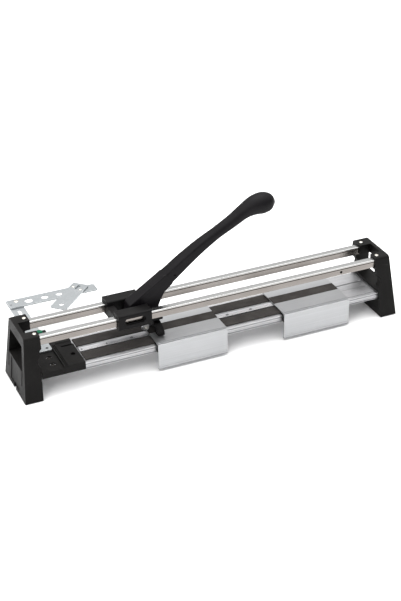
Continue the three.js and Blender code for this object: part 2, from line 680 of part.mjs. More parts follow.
function leverRootShape() {
  const { x, z } = pivot;
  const shape = new THREE.Shape();
  shape.moveTo(x - 9, z - 5);
  shape.quadraticCurveTo(x - 6, z - 10, x + 2, z - 10);
  shape.lineTo(x + 36, z - 10);
  shape.lineTo(x + 36, leverRootBottom);
  shape.lineTo(x + 62, leverRootBottom);
  shape.lineTo(x + 53, z + 6);
  shape.quadraticCurveTo(x + 57, z + 22, x + 66, z + 31);
  shape.lineTo(x + 84, z + 46);
  shape.lineTo(x + 69, z + 66.5);
  shape.lineTo(x + 60, z + 60);
  shape.lineTo(x - 5, z + 18);
  shape.quadraticCurveTo(x - 11, z + 12, x - 9, z - 5);
  return shape;
}

const holderBoltHole = (half) => rod('y', holderBolt.radius + seatGap, cutY - half - 1, cutY + half + 1,
  [holderBolt.x, holderBolt.z], 12);

// A round bar along the spine whose rings take the stations' girth, from a near square to a circle.
function leverShank() {
  const section = new THREE.Shape();
  section.absarc(0, 0, 1, 0, Math.PI * 2);
  const rings = { depth: 1, steps: 30, bevelEnabled: false, curveSegments: 20 };
  const loft = new THREE.ExtrudeGeometry(section, rings);
  const spine = new THREE.CatmullRomCurve3(shank.map(({ x, z }) => new THREE.Vector3(x, 0, z)));
  const girth = new THREE.CatmullRomCurve3(shank.map(({ high, wide, square }) =>
    new THREE.Vector3(high, wide, square)));
  const ring = loft.attributes.position;
  for (let i = 0; i < ring.count; i += 1) {
    const t = ring.getZ(i);
    const centre = spine.getPoint(t);
    const along = spine.getPoint(Math.min(t + 0.01, 1)).sub(spine.getPoint(Math.max(t - 0.01, 0))).normalize();
    const size = girth.getPoint(t);
    const power = 2 + 5 * Math.max(size.z, 0);
    const reach = (Math.abs(ring.getX(i)) ** power + Math.abs(ring.getY(i)) ** power) ** (-1 / power);
    const across = ring.getX(i) * reach * size.y;
    const rise = ring.getY(i) * reach * size.x;
    ring.setXYZ(i, pivot.x + centre.x - along.z * rise, cutY + across, pivot.z + centre.z + along.x * rise);
  }
  return loft;
}

function leverArm() {
  const half = lever.width / 2;
  const root = bar('y', leverRootShape(), cutY - half, cutY + half, 4);
  const forkSlot = box(pivot.x + 16, pivot.x + 66, cutY - breakerSlot, cutY + breakerSlot,
    leverRootBottom - 1, breakerPin.z + 9);
  const holderSlot = box(pivot.x + 10, wheelCentre.x + 10, cutY - wheel.holder / 2 - seatGap,
    cutY + wheel.holder / 2 + seatGap, leverRootBottom - 1, pivot.z + seatGap);
  const pinHole = rod('y', lever.pinRadius + seatGap, cutY - half - 1, cutY + half + 1, [pivot.x, pivot.z], 16);
  const boltHole = holderBoltHole(half);
  const breakerHole = rod('y', breaker.pinRadius + seatGap, cutY - half - 1, cutY + half + 1,
    [breakerPin.x, breakerPin.z], 12);
  const sideHole = rod('y', 1.8, cutY - half - 1, cutY - half + 6, [pivot.x + 88, pivot.z + 62], 10);
  return cut(join(root, leverShank()), forkSlot, holderSlot, pinHole, boltHole, breakerHole, sideHole);
}

function pinY(radius, half, x, z, segments = 16) {
  return rod('y', radius, cutY - half, cutY + half, [x, z], segments);
}

// The wheel holder is a steel bar, slotted at its foot for the wheel.
function wheelHolder() {
  const half = wheel.holder / 2;
  const x = wheelCentre.x;
  const shape = new THREE.Shape();
  shape.moveTo(x - 5.5, wheelCentre.z + 2);
  shape.absarc(x, wheelCentre.z, 5.8, Math.PI * 0.95, Math.PI * 2.05);
  shape.lineTo(x + 5.5, pivot.z - 14);
  shape.lineTo(x + 1, pivot.z - seatGap * 2);
  shape.lineTo(pivot.x + 12, pivot.z - seatGap * 2);
  shape.lineTo(pivot.x + 12, pivot.z - 9);
  shape.lineTo(x - 5.5, pivot.z - 18);
  const body = bar('y', shape, cutY - half, cutY + half, 6);
  const clearance = wheel.radius + 1.5;
  const slot = box(x - clearance, x + clearance, cutY - wheel.thickness / 2 - slideGap,
    cutY + wheel.thickness / 2 + slideGap, wheelCentre.z - clearance, wheelCentre.z + clearance);
  const bore = rod('y', wheel.bore + seatGap, cutY - half - 1, cutY + half + 1, [x, wheelCentre.z], 14);
  return cut(body, slot, bore, holderBoltHole(half));
}

// The wheel comes to a cutting edge at its rim.
function cuttingWheel() {
  const half = wheel.thickness / 2;
  const bore = wheel.bore + seatGap;
  const profile = [[bore, -half], [wheel.radius - 1.4, -half], [wheel.radius, 0], [wheel.radius - 1.4, half],
    [bore, half], [bore, -half]];
  return turned(profile, 0, 0, 0, 32).rotateX(Math.PI / 2).translate(wheelCentre.x, cutY, wheelCentre.z);
}

// The breaker foot: a tongue on its pin, and below it a wide bar that spans the score line.
function breakerFoot() {
  const half = breaker.width / 2;
  const t = breaker.thickness / 2;
  const tongueHalf = breakerSlot - seatGap;
  const { x, z } = breakerPin;
  const tongue = join(
    rod('y', 6, cutY - tongueHalf, cutY + tongueHalf, [x, z], 16),
    box(x - t, x + t, cutY - tongueHalf, cutY + tongueHalf, breakerBottom + breakerRise / 2, z),
  );
  const arch = new THREE.Shape();
  arch.moveTo(cutY - half, breakerBottom);
  arch.lineTo(cutY - half + 14, breakerBottom);
  arch.lineTo(cutY - 9, breakerBottom + breakerRise * 0.36);
  arch.lineTo(cutY + 9, breakerBottom + breakerRise * 0.36);
  arch.lineTo(cutY + half - 14, breakerBottom);
  arch.lineTo(cutY + half, breakerBottom);
  const edge = breakerBottom + breakerRise * 0.3;
  const top = breakerBottom + breakerRise;
  arch.lineTo(cutY + half, edge);
  arch.quadraticCurveTo(cutY + 18, top - 1, cutY + tongueHalf, top);
  arch.lineTo(cutY - tongueHalf, top);
  arch.quadraticCurveTo(cutY - 18, top - 1, cutY - half, edge);
  const bridge = bar('x', arch, x - t, x + t, 5);
  const bore = rod('y', breaker.pinRadius + seatGap, cutY - half, cutY + half, [x, z], 14);
  return cut(join(tongue, bridge), bore);
}

add('lever', leverArm(), blackNylon);
add('lever_pivot_pin', pinY(lever.pinRadius, rootHalf + 5, pivot.x, pivot.z, 20), zinc);
add('wheel_holder', wheelHolder(), brushedSteel);
add('wheel_holder_bolt', pinY(holderBolt.radius, lever.width / 2 - 0.5, holderBolt.x, holderBolt.z, 12), zinc);
add('wheel_axle', pinY(wheel.bore, wheel.holder / 2, wheelCentre.x, wheelCentre.z, 16), zinc);
add('cutting_wheel', cuttingWheel(), carbide);
add('breaker_foot', breakerFoot(), blackPlastic);
add('breaker_pin', pinY(breaker.pinRadius, lever.width / 2 - 0.5, breakerPin.x, breakerPin.z, 14), zinc);

// ---- Support wings --------------------------------------------------------------------------------

const freeLength = overallLength - padStart - 39 - 2 * wing.length;
const wingStarts = {
  left: leftX + padStart + freeLength * 0.42,
  right: leftX + padStart + wing.length + freeLength * 0.79,
};
const ribGroove = { width: 5, depth: 1.2, inset: 22 };
const stripY = cutY + 3 - wing.stripWidth / 2;

// The aluminium angle: top plate, beaded fold and apron with a turned-in foot.
function wingProfile(x0) {
  const x1 = x0 + wing.length;
  const front = wingFrontY;
  const rear = front + wing.depth;
  const foot0 = wing.bottomGap;
  const shape = outline([
    [front, foot0], [front + 5.5, foot0], [front + 5.5, foot0 + 1.6], [front + wing.apron, foot0 + 1.6],
    [front + wing.apron, wingBottom], [rear, wingBottom], [rear, wingTop],
    [front + 7, wingTop], [front + 7, wingTop - 0.8], [front + 4.5, wingTop - 0.8], [front + 4.5, wingTop],
    [front + 1, wingTop], [front, wingTop - 1], [front, wingTop - 2.6], [front + 0.8, wingTop - 2.6],
    [front + 0.8, wingTop - 4.6], [front, wingTop - 4.6],
  ]);
  const grooves = [x0 + ribGroove.inset, x1 - ribGroove.inset].map((x) =>
    box(x - ribGroove.width / 2, x + ribGroove.width / 2, front + wing.apron + 1, rear + 1,
      wingBottom - 1, wingBottom + ribGroove.depth));
  const seat = box(x0 - 1, x1 + 1, stripY, stripY + wing.stripWidth, wingTop - 0.8, wingTop + 1);
  return cut(bar('x', shape, x0, x1), ...grooves, seat);
}

function wingStrip(x0) {
  const g = seatGap;
  const z0 = wingTop - 0.8 + g;
  return box(x0 + 0.5, x0 + wing.length - 0.5, stripY + g, stripY + wing.stripWidth - g, z0, z0 + wing.strip);
}

// The shoe runs in the groove of the base's front edge and carries the wing on two low ribs.
function wingShoe(x0) {
  const x1 = x0 + wing.length;
  const gap = slideGap;
  const front = wingFrontY + wing.apron + 1;
  const top = wingBottom - seatGap;
  const shape = outline([
    [front, hookGroove.low + gap - 2], [base.frontY - gap, hookGroove.low + gap - 2],
    [base.frontY - gap, hookGroove.low + gap], [base.frontY + hookGroove.depth - 1, hookGroove.low + gap],
    [base.frontY + hookGroove.depth - 1, hookGroove.high - gap], [base.frontY - gap, hookGroove.high - gap],
    [base.frontY - gap, base.topHeight + gap], [pad.frontY - 1, base.topHeight + gap],
    [pad.frontY - 1, top], [front, top],
  ]);
  const body = bar('x', shape, x0, x1);
  const ribs = [x0 + ribGroove.inset, x1 - ribGroove.inset].map((x) =>
    box(x - ribGroove.width / 2 + gap, x + ribGroove.width / 2 - gap, front, pad.frontY - 1,
      top - 0.5, wingBottom + ribGroove.depth - gap));
  return join(body, ...ribs);
}

for (const [side, x0] of Object.entries(wingStarts)) {
  add(`${side}_wing`, wingProfile(x0), aluminium);
  add(`${side}_wing_strip`, wingStrip(x0), rubber);
  add(`${side}_wing_shoe`, wingShoe(x0), blackPlastic);
}

// ---- Origin: middle of the footprint, on the floor ------------------------------------------------

const extent = new THREE.Box3().setFromObject(group);
group.position.y = -(extent.min.y + extent.max.y) / 2;

export default group;
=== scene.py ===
"""Manual tile cutter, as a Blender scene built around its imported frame.

Two moulded end blocks carry two steel slide rails and an aluminium base with rubber pads and a breaking
ridge. A carriage with lever, cutting wheel and breaker foot runs on the rails. A swivelling steel fence
and two support wings complete it. Metres, +Z up, +X along the rails, the user stands at -Y.
"""
import json
import logging
import math
from dataclasses import dataclass, field
from enum import Enum
from typing import Callable, Iterable, Optional, Sequence, Union

import bmesh
import bpy
from mathutils import Matrix, Vector


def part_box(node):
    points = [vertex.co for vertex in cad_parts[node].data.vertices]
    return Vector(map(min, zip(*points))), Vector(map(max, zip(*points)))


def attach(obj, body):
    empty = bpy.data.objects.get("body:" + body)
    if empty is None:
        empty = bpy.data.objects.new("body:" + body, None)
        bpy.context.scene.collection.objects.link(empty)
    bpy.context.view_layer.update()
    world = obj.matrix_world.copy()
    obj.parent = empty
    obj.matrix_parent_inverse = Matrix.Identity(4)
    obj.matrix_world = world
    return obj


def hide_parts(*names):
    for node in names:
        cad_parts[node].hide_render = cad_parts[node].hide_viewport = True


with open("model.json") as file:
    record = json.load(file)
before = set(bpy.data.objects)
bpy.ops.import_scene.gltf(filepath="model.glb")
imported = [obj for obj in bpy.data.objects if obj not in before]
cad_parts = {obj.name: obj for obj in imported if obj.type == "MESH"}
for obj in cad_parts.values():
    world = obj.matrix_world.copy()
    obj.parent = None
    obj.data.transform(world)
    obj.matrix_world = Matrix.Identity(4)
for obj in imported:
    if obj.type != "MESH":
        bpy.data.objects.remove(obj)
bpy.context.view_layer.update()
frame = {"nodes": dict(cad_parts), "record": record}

LOG = logging.getLogger("tile_cutter")
MM = 0.001
MERGE = 2e-6
BODY_OF = {node: body for body, nodes in frame["record"]["behaviour"]["bodies"].items() for node in nodes}
Point = tuple[float, float]
Corner = tuple[float, float, float]
Colour = tuple[float, float, float]
Feed = Union[float, Sequence[float], bpy.types.NodeSocket]


class Axis(Enum):
    """The axis that a bar or a turned piece runs along."""

    X = 0
    Y = 1
    Z = 2

    def place(self, a: float, b: float, along: float) -> Vector:
        """Return the point with outline coordinates a and b at a place along the axis.

        Args:
            a: First outline coordinate: Y on the X axis, else X.
            b: Second outline coordinate: Y on the Z axis, else Z.
            along: Place along the axis.

        Returns:
            The point in the frame.
        """
        if self is Axis.X:
            return Vector((along, a, b))
        if self is Axis.Y:
            return Vector((a, along, b))
        return Vector((a, b, along))


class Side(Enum):
    """The end of the cutter that a piece belongs to, with its direction along X."""

    LEFT = -1
    RIGHT = 1

    @property
    def word(self) -> str:
        """Return the side's name as the nodes spell it."""
        return self.name.lower()


# ---- Outlines and boxes -----------------------------------------------------------------------------


@dataclass(frozen=True)
class Extent:
    """The lowest and highest corners of a node at rest."""

    low: Vector
    high: Vector

    @classmethod
    def of(cls, node: str) -> "Extent":
        """Return the extent of one node."""
        low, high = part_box(node)
        return cls(Vector(low), Vector(high))

    @property
    def middle(self) -> Vector:
        """Return the centre of the box."""
        return (self.low + self.high) / 2

    @property
    def size(self) -> Vector:
        """Return the box's lengths along the axes."""
        return self.high - self.low


def eased(corners: Sequence[Corner], steps: int = 6) -> list[Point]:
    """Return the outline through the corners, each rounded by its own radius.

    Args:
        corners: Corner points with a radius each, in order.
        steps: Segments in each rounded corner.

    Returns:
        The points of the closed outline.
    """
    points: list[Point] = []
    count = len(corners)
    for index, (x, y, radius) in enumerate(corners):
        here = Vector((x, y))
        before = Vector(corners[index - 1][:2]) - here
        after = Vector(corners[(index + 1) % count][:2]) - here
        if radius <= 0 or before.length == 0 or after.length == 0:
            points.append((x, y))
            continue
        half = before.angle(after) / 2
        reach = min(radius / math.tan(half), before.length * 0.499, after.length * 0.499)
        if reach <= 0 or half > math.pi / 2 - 0.01:
            points.append((x, y))
            continue
        true_radius = reach * math.tan(half)
        bisector = (before.normalized() + after.normalized()).normalized()
        centre = here + bisector * (true_radius / math.sin(half))
        start = here + before.normalized() * reach - centre
        end = here + after.normalized() * reach - centre
        turn = start.angle_signed(end)
        first = math.atan2(start.y, start.x)
        for step in range(steps + 1):
            angle = first - turn * step / steps
            points.append((centre.x + true_radius * math.cos(angle),
                           centre.y + true_radius * math.sin(angle)))
    return points


def in_mm(origin: Point, *corners: Corner) -> list[Corner]:
    """Return corners that are given in millimetres from an origin, with their radii.

    Args:
        origin: The point that they are counted from, in metres.
        *corners: Two offsets and a radius each, in millimetres.

    Returns:
        The corners in metres.
    """
    return [(origin[0] + a * MM, origin[1] + b * MM, radius * MM) for a, b, radius in corners]


def round_rect(a: Point, b: Point, radius: float, steps: int = 6) -> list[Point]:
    """Return a rectangle from corner a to corner b with rounded corners.

    Args:
        a: Lowest corner.
        b: Highest corner.
        radius: Radius of the corners.
        steps: Segments in each corner.

    Returns:
        The points of the closed outline.
    """
    corners = [(a[0], a[1]), (b[0], a[1]), (b[0], b[1]), (a[0], b[1])]
    return eased([(x, y, radius) for x, y in corners], steps)


def circle(centre: Point, radius: float, steps: int = 32) -> list[Point]:
    """Return a circle as an outline.

    Args:
        centre: Its centre.
        radius: Its radius.
        steps: Points round it.

    Returns:
        The points of the closed outline.
    """
    turns = [math.tau * i / steps for i in range(steps)]
    return [(centre[0] + radius * math.cos(t), centre[1] + radius * math.sin(t)) for t in turns]


# ---- Solids -----------------------------------------------------------------------------------------


class Solid:
    """A closed mesh while it is being made: cut, joined, softened and then handed to the frame."""

    def __init__(self, mesh: bpy.types.Mesh) -> None:
        """Hold the mesh that the solid starts from."""
        self.mesh = mesh

    @classmethod
    def from_bmesh(cls, bm: bmesh.types.BMesh) -> "Solid":
        """Return a solid of the bmesh, with its doubles merged and its faces pointing out."""
        bmesh.ops.remove_doubles(bm, verts=bm.verts, dist=MERGE)
        bmesh.ops.recalc_face_normals(bm, faces=bm.faces)
        mesh = bpy.data.meshes.new("solid")
        bm.to_mesh(mesh)
        bm.free()
        return cls(mesh)

    @classmethod
    def from_node(cls, node: str) -> "Solid":
        """Return a clean copy of a node's shape, its flat faces made whole again."""
        source = frame["nodes"][node]
        bm = bmesh.new()
        bm.from_mesh(source.data)
        bmesh.ops.transform(bm, matrix=source.matrix_world, verts=bm.verts)
        bmesh.ops.remove_doubles(bm, verts=bm.verts, dist=MERGE)
        bmesh.ops.dissolve_limit(bm, angle_limit=math.radians(0.6), verts=bm.verts, edges=bm.edges)
        return cls.from_bmesh(bm)

    @classmethod
    def bar(cls, axis: Axis, outline: Sequence[Point], low: float, high: float,
            holes: Iterable[Sequence[Point]] = (), bevel: float = 0.0, rounds: int = 2) -> "Solid":
        """Return a bar of one outline along an axis, with through holes and softened ends.

        Args:
            axis: Axis that the bar runs along.
            outline: Its outline across the axis.
            low: Where it starts.
            high: Where it ends.
            holes: Outlines of the through holes.
            bevel: Size of the bevel round both ends.
            rounds: Segments in the bevel.

        Returns:
            The solid.
        """
        curve = bpy.data.curves.new("bar", "CURVE")
        curve.dimensions = "2D"
        curve.fill_mode = "BOTH"
        curve.extrude = (high - low) / 2 - bevel
        curve.bevel_depth = bevel
        curve.bevel_resolution = rounds - 1
        curve.offset = -bevel
        for loop in (outline, *holes):
            spline = curve.splines.new("POLY")
            spline.points.add(len(loop) - 1)
            for point, (a, b) in zip(spline.points, loop):
                point.co = (a, b, 0, 1)
            spline.use_cyclic_u = True
        holder = bpy.data.objects.new("bar", curve)
        mesh = bpy.data.meshes.new_from_object(holder)
        bpy.data.objects.remove(holder)
        bm = bmesh.new()
        bm.from_mesh(mesh)
        middle = (low + high) / 2
        for vert in bm.verts:
            vert.co = axis.place(vert.co.x, vert.co.y, middle + vert.co.z)
        return cls.from_bmesh(bm)

    @classmethod
    def turned(cls, axis: Axis, centre: Vector, profile: Sequence[Point], steps: int = 40) -> "Solid":
        """Return a solid of revolution.

        Args:
            axis: Axis that it is turned about.
            centre: Point on the axis that heights are counted from.
            profile: Pairs of radius and height, from one end of the axis to the other.
            steps: Segments round it.

        Returns:
            The solid.
        """
        rings = []
        for radius, height in profile:
            turns = [math.tau * i / steps for i in range(steps)]
            ring = [centre + axis.place(radius * math.cos(t), radius * math.sin(t), height) for t in turns]
            rings.append(ring)
        return cls.loft(rings)

    @classmethod
    def loft(cls, rings: Sequence[Sequence[Vector]]) -> "Solid":
        """Return the skin through rings of equal point count, closed at both ends."""
        bm = bmesh.new()
        rows = [[bm.verts.new(point) for point in ring] for ring in rings]
        count = len(rows[0])
        for lower, upper in zip(rows, rows[1:]):
            for i in range(count):
                j = (i + 1) % count
                bm.faces.new((lower[i], lower[j], upper[j], upper[i]))
        bm.faces.new(list(reversed(rows[0])))
        bm.faces.new(rows[-1])
        bmesh.ops.dissolve_degenerate(bm, dist=MERGE, edges=bm.edges)
        return cls.from_bmesh(bm)

    def _boolean(self, operation: str, others: Sequence["Solid"]) -> "Solid":
        """Return this solid after one exact boolean with each of the others in turn."""
        host = bpy.data.objects.new("host", self.mesh)
        bpy.context.scene.collection.objects.link(host)
        tools = []
        for other in others:
            tool = bpy.data.objects.new("tool", other.mesh)
            bpy.context.scene.collection.objects.link(tool)
            tools.append(tool)
            step = host.modifiers.new("boolean", "BOOLEAN")
            step.operation = operation
            step.solver = "EXACT"
            step.object = tool
        graph = bpy.context.evaluated_depsgraph_get()
        result = bpy.data.meshes.new_from_object(host.evaluated_get(graph))
        for thing in (host, *tools):
            bpy.data.objects.remove(thing)
        bm = bmesh.new()
        bm.from_mesh(result)
        return Solid.from_bmesh(bm)

    def cut(self, *tools: "Solid") -> "Solid":
        """Return this solid with the tools taken away."""
        return self._boolean("DIFFERENCE", tools)

    def join(self, *others: "Solid") -> "Solid":
        """Return this solid joined with the others into one body."""
        return self._boolean("UNION", others)

    def soften(self, width: float, segments: int = 2, angle: float = 32.0) -> "Solid":
        """Return this solid with its sharp edges rounded.

        Args:
            width: Width of the rounding.
            segments: Segments across it.
            angle: Least angle between two faces, in degrees, that counts as an edge.

        Returns:
            The softened solid.
        """
        bm = bmesh.new()
        bm.from_mesh(self.mesh)
        flat = math.radians(0.6)
        bmesh.ops.dissolve_limit(bm, angle_limit=flat, verts=bm.verts, edges=bm.edges)
        limit = math.radians(angle)
        sharp = [e for e in bm.edges if len(e.link_faces) == 2 and e.calc_face_angle(0.0) > limit]
        bmesh.ops.bevel(bm, geom=sharp, offset=width, offset_type="OFFSET", segments=segments,
                        profile=0.5, affect="EDGES", clamp_overlap=True)
        return Solid.from_bmesh(bm)

    def blended(self, voxel: float, passes: int) -> "Solid":
        """Return this solid with its inner corners flowed together.

        Args:
            voxel: Size of the grid that it is rebuilt on.
            passes: Number of smoothing passes.

        Returns:
            The blended solid.
        """
        host = bpy.data.objects.new("host", self.mesh)
        bpy.context.scene.collection.objects.link(host)
        remesh = host.modifiers.new("remesh", "REMESH")
        remesh.mode = "VOXEL"
        remesh.voxel_size = voxel
        smooth = host.modifiers.new("smooth", "SMOOTH")
        smooth.iterations = passes
        smooth.factor = 0.5
        graph = bpy.context.evaluated_depsgraph_get()
        result = bpy.data.meshes.new_from_object(host.evaluated_get(graph))
        bpy.data.objects.remove(host)
        return Solid(result)


# ---- Node trees -------------------------------------------------------------------------------------


class Graph:
    """A node tree while it is wired: it adds nodes and feeds their sockets."""

    def __init__(self, tree: bpy.types.NodeTree) -> None:
        """Hold the tree that nodes are added to."""
        self.tree = tree

    def add(self, kind: str, feeds: Optional[dict[Union[str, int], Feed]] = None,
            **settings: object) -> bpy.types.Node:
        """Add a node.

        Args:
            kind: Blender's name for the node type.
            feeds: What each named or numbered input gets.
            **settings: Properties of the node itself.

        Returns:
            The new node.
        """
        node = self.tree.nodes.new(kind)
        for key, value in settings.items():
            setattr(node, key, value)
        for key, value in (feeds or {}).items():
            self.feed(node.inputs[key], value)
        return node

    def feed(self, socket: bpy.types.NodeSocket, value: Feed) -> None:
        """Link a socket to another one, or set its value."""
        if isinstance(value, bpy.types.NodeSocket):
            self.tree.links.new(value, socket)
        elif socket.type == "RGBA" and len(value) == 3:
            socket.default_value = (*value, 1.0)
        else:
            socket.default_value = value

    def math(self, operation: str, a: Feed, b: Feed = 0.0, clamp: bool = False) -> bpy.types.NodeSocket:
        """Return the result of one math node."""
        node = self.add("ShaderNodeMath", {0: a, 1: b}, operation=operation, use_clamp=clamp)
        return node.outputs[0]

    def times(self, a: Feed, b: Feed, clamp: bool = False) -> bpy.types.NodeSocket:
        """Return a times b."""
        return self.math("MULTIPLY", a, b, clamp)

    def plus(self, a: Feed, b: Feed, clamp: bool = False) -> bpy.types.NodeSocket:
        """Return a plus b."""
        return self.math("ADD", a, b, clamp)

    def minus(self, a: Feed, b: Feed) -> bpy.types.NodeSocket:
        """Return a less b."""
        return self.math("SUBTRACT", a, b)

    def span(self, value: Feed, low: float, high: float, out_low: float = 0.0,
             out_high: float = 1.0) -> bpy.types.NodeSocket:
        """Return a value moved from one span to another and held inside it."""
        feeds = {"Value": value, "From Min": low, "From Max": high, "To Min": out_low, "To Max": out_high}
        return self.add("ShaderNodeMapRange", feeds, clamp=True).outputs["Result"]

    def mix(self, share: Feed, first: Feed, second: Feed) -> bpy.types.NodeSocket:
        """Return two colours mixed by a share."""
        node = self.add("ShaderNodeMix", data_type="RGBA")
        self.feed(node.inputs["Factor"], share)
        self.feed([s for s in node.inputs if s.name == "A" and s.type == "RGBA"][0], first)
        self.feed([s for s in node.inputs if s.name == "B" and s.type == "RGBA"][0], second)
        return [s for s in node.outputs if s.type == "RGBA"][0]

    def place(self) -> bpy.types.NodeSocket:
        """Return the piece's own coordinates, in metres."""
        return self.add("ShaderNodeTexCoord").outputs["Object"]

    def noise(self, scale: Feed, detail: float = 3.0, vector: Optional[bpy.types.NodeSocket] = None,
              rough: float = 0.5) -> bpy.types.NodeSocket:
        """Return one noise value at the piece's coordinates or at the given ones."""
        feeds = {"Vector": vector or self.place(), "Scale": scale, "Detail": detail, "Roughness": rough}
        return self.add("ShaderNodeTexNoise", feeds).outputs[0]


@dataclass(frozen=True)
class Effect:
    """A shared surface effect: a node group that is made once and placed in many materials."""

    name: str
    inputs: tuple[tuple[str, float], ...]
    outputs: tuple[str, ...]
    wire: Callable[[Graph, bpy.types.Node, bpy.types.Node], None]

    def tree(self) -> bpy.types.NodeTree:
        """Return the effect's group, made on its first use."""
        made = bpy.data.node_groups.get(self.name)
        if made:
            return made
        tree = bpy.data.node_groups.new(self.name, "ShaderNodeTree")
        for name, value in self.inputs:
            socket = tree.interface.new_socket(name=name, in_out="INPUT", socket_type="NodeSocketFloat")
            socket.default_value = value
        for name in self.outputs:
            tree.interface.new_socket(name=name, in_out="OUTPUT", socket_type="NodeSocketFloat")
        graph = Graph(tree)
        self.wire(graph, graph.add("NodeGroupInput"), graph.add("NodeGroupOutput"))
        return tree

    def put(self, graph: Graph, **values: Feed) -> dict[str, bpy.types.NodeSocket]:
        """Place the effect in a material.

        Args:
            graph: The material's tree.
            **values: Its inputs by name.

        Returns:
            The effect's outputs by name.
        """
        node = graph.add("ShaderNodeGroup")
        node.node_tree = self.tree()
        for name, value in values.items():
            graph.feed(node.inputs[name], value)
        return {name: node.outputs[name] for name in self.outputs}


def wire_grain(graph: Graph, given: bpy.types.Node, out: bpy.types.Node) -> None:
    """Wire the spark-eroded grain of a moulding: fine pits, and slow mottling over the whole piece."""
    fine = graph.noise(given.outputs["Scale"], 3.0)
    coarse = graph.times(given.outputs["Scale"], 0.35)
    cells = graph.add("ShaderNodeTexVoronoi", {"Vector": graph.place(), "Scale": coarse}).outputs["Distance"]
    height = graph.plus(graph.times(fine, 0.7), graph.times(cells, 0.3))
    graph.feed(out.inputs["Height"], height)
    graph.feed(out.inputs["Mottle"], graph.span(graph.noise(given.outputs["Mottling"], 4.0), 0.32, 0.68))


def wire_brushed(graph: Graph, given: bpy.types.Node, out: bpy.types.Node) -> None:
    """Wire lines that run along one axis, fine and coarse, as drawing and brushing leave them."""
    stretch = graph.add("ShaderNodeCombineXYZ", {i: given.outputs[n] for i, n in enumerate("XYZ")})
    feeds = {0: graph.place(), 1: stretch.outputs[0]}
    placed = graph.add("ShaderNodeVectorMath", feeds, operation="MULTIPLY").outputs[0]
    fine = graph.noise(1.0, 4.0, placed, 0.65)
    broad = graph.noise(0.16, 2.0, placed)
    both = graph.plus(graph.times(fine, 0.6), graph.times(broad, 0.4))
    graph.feed(out.inputs["Height"], fine)
    graph.feed(out.inputs["Streak"], graph.span(both, 0.36, 0.64))


def wire_edge_wear(graph: Graph, given: bpy.types.Node, out: bpy.types.Node) -> None:
    """Wire a mask of the outer edges, broken up where hands and tiles have missed them."""
    rounded = graph.add("ShaderNodeBevel", {"Radius": given.outputs["Radius"]}, samples=4).outputs[0]
    flat = graph.add("ShaderNodeNewGeometry").outputs["Normal"]
    dot = graph.add("ShaderNodeVectorMath", {0: rounded, 1: flat}, operation="DOT_PRODUCT").outputs["Value"]
    edge = graph.span(graph.minus(1.0, dot), 0.004, 0.12)
    patches = graph.span(graph.noise(given.outputs["Patches"], 4.0), 0.38, 0.62)
    graph.feed(out.inputs["Edge"], graph.times(edge, patches))


def wire_dust(graph: Graph, given: bpy.types.Node, out: bpy.types.Node) -> None:
    """Wire a mask of the fine tile dust that settles on upward faces."""
    normal = graph.add("ShaderNodeNewGeometry").outputs["Normal"]
    upward = graph.add("ShaderNodeSeparateXYZ", {0: normal}).outputs["Z"]
    lying = graph.span(upward, 0.3, 0.95)
    cloud = graph.span(graph.noise(38.0, 5.0, None, 0.6), 0.42, 0.72)
    specks = graph.span(graph.noise(900.0, 2.0), 0.6, 0.74)
    settled = graph.plus(graph.times(cloud, 0.6), graph.times(specks, 0.4))
    mask = graph.times(graph.times(settled, lying), given.outputs["Amount"], True)
    graph.feed(out.inputs["Mask"], mask)


def wire_scratches(graph: Graph, given: bpy.types.Node, out: bpy.types.Node) -> None:
    """Wire thin stray scratches, drawn where a warped noise passes its middle value."""
    warped = graph.noise(given.outputs["Scale"], 1.0)
    line = graph.math("ABSOLUTE", graph.minus(warped, 0.5))
    thin = graph.span(line, 0.0, 0.006, 1.0, 0.0)
    sparse = graph.span(graph.noise(70.0, 3.0), 0.52, 0.62)
    graph.feed(out.inputs["Mask"], graph.times(thin, sparse))


def wire_spangle(graph: Graph, given: bpy.types.Node, out: bpy.types.Node) -> None:
    """Wire the crystal patches of a galvanised sheet, one tone to each."""
    feeds = {"Vector": graph.place(), "Scale": given.outputs["Scale"], "Randomness": 1.0}
    cells = graph.add("ShaderNodeTexVoronoi", feeds).outputs["Color"]
    tone = graph.add("ShaderNodeSeparateColor", {0: cells}).outputs[0]
    frost = graph.noise(260.0, 3.0)
    both = graph.plus(graph.times(tone, 0.65), graph.times(frost, 0.35))
    graph.feed(out.inputs["Tone"], graph.span(both, 0.15, 0.85))


GRAIN = Effect("moulded_grain", (("Scale", 2600.0), ("Mottling", 24.0)), ("Height", "Mottle"), wire_grain)
BRUSHED = Effect("brushed_lines", (("X", 8.0), ("Y", 2600.0), ("Z", 2600.0)), ("Height", "Streak"),
                 wire_brushed)
EDGE_WEAR = Effect("edge_wear", (("Radius", 0.0007), ("Patches", 70.0)), ("Edge",), wire_edge_wear)
DUST = Effect("tile_dust", (("Amount", 0.3),), ("Mask",), wire_dust)
SCRATCHES = Effect("stray_scratches", (("Scale", 26.0),), ("Mask",), wire_scratches)
SPANGLE = Effect("zinc_spangle", (("Scale", 130.0),), ("Tone",), wire_spangle)


# ---- Finishes ---------------------------------------------------------------------------------------


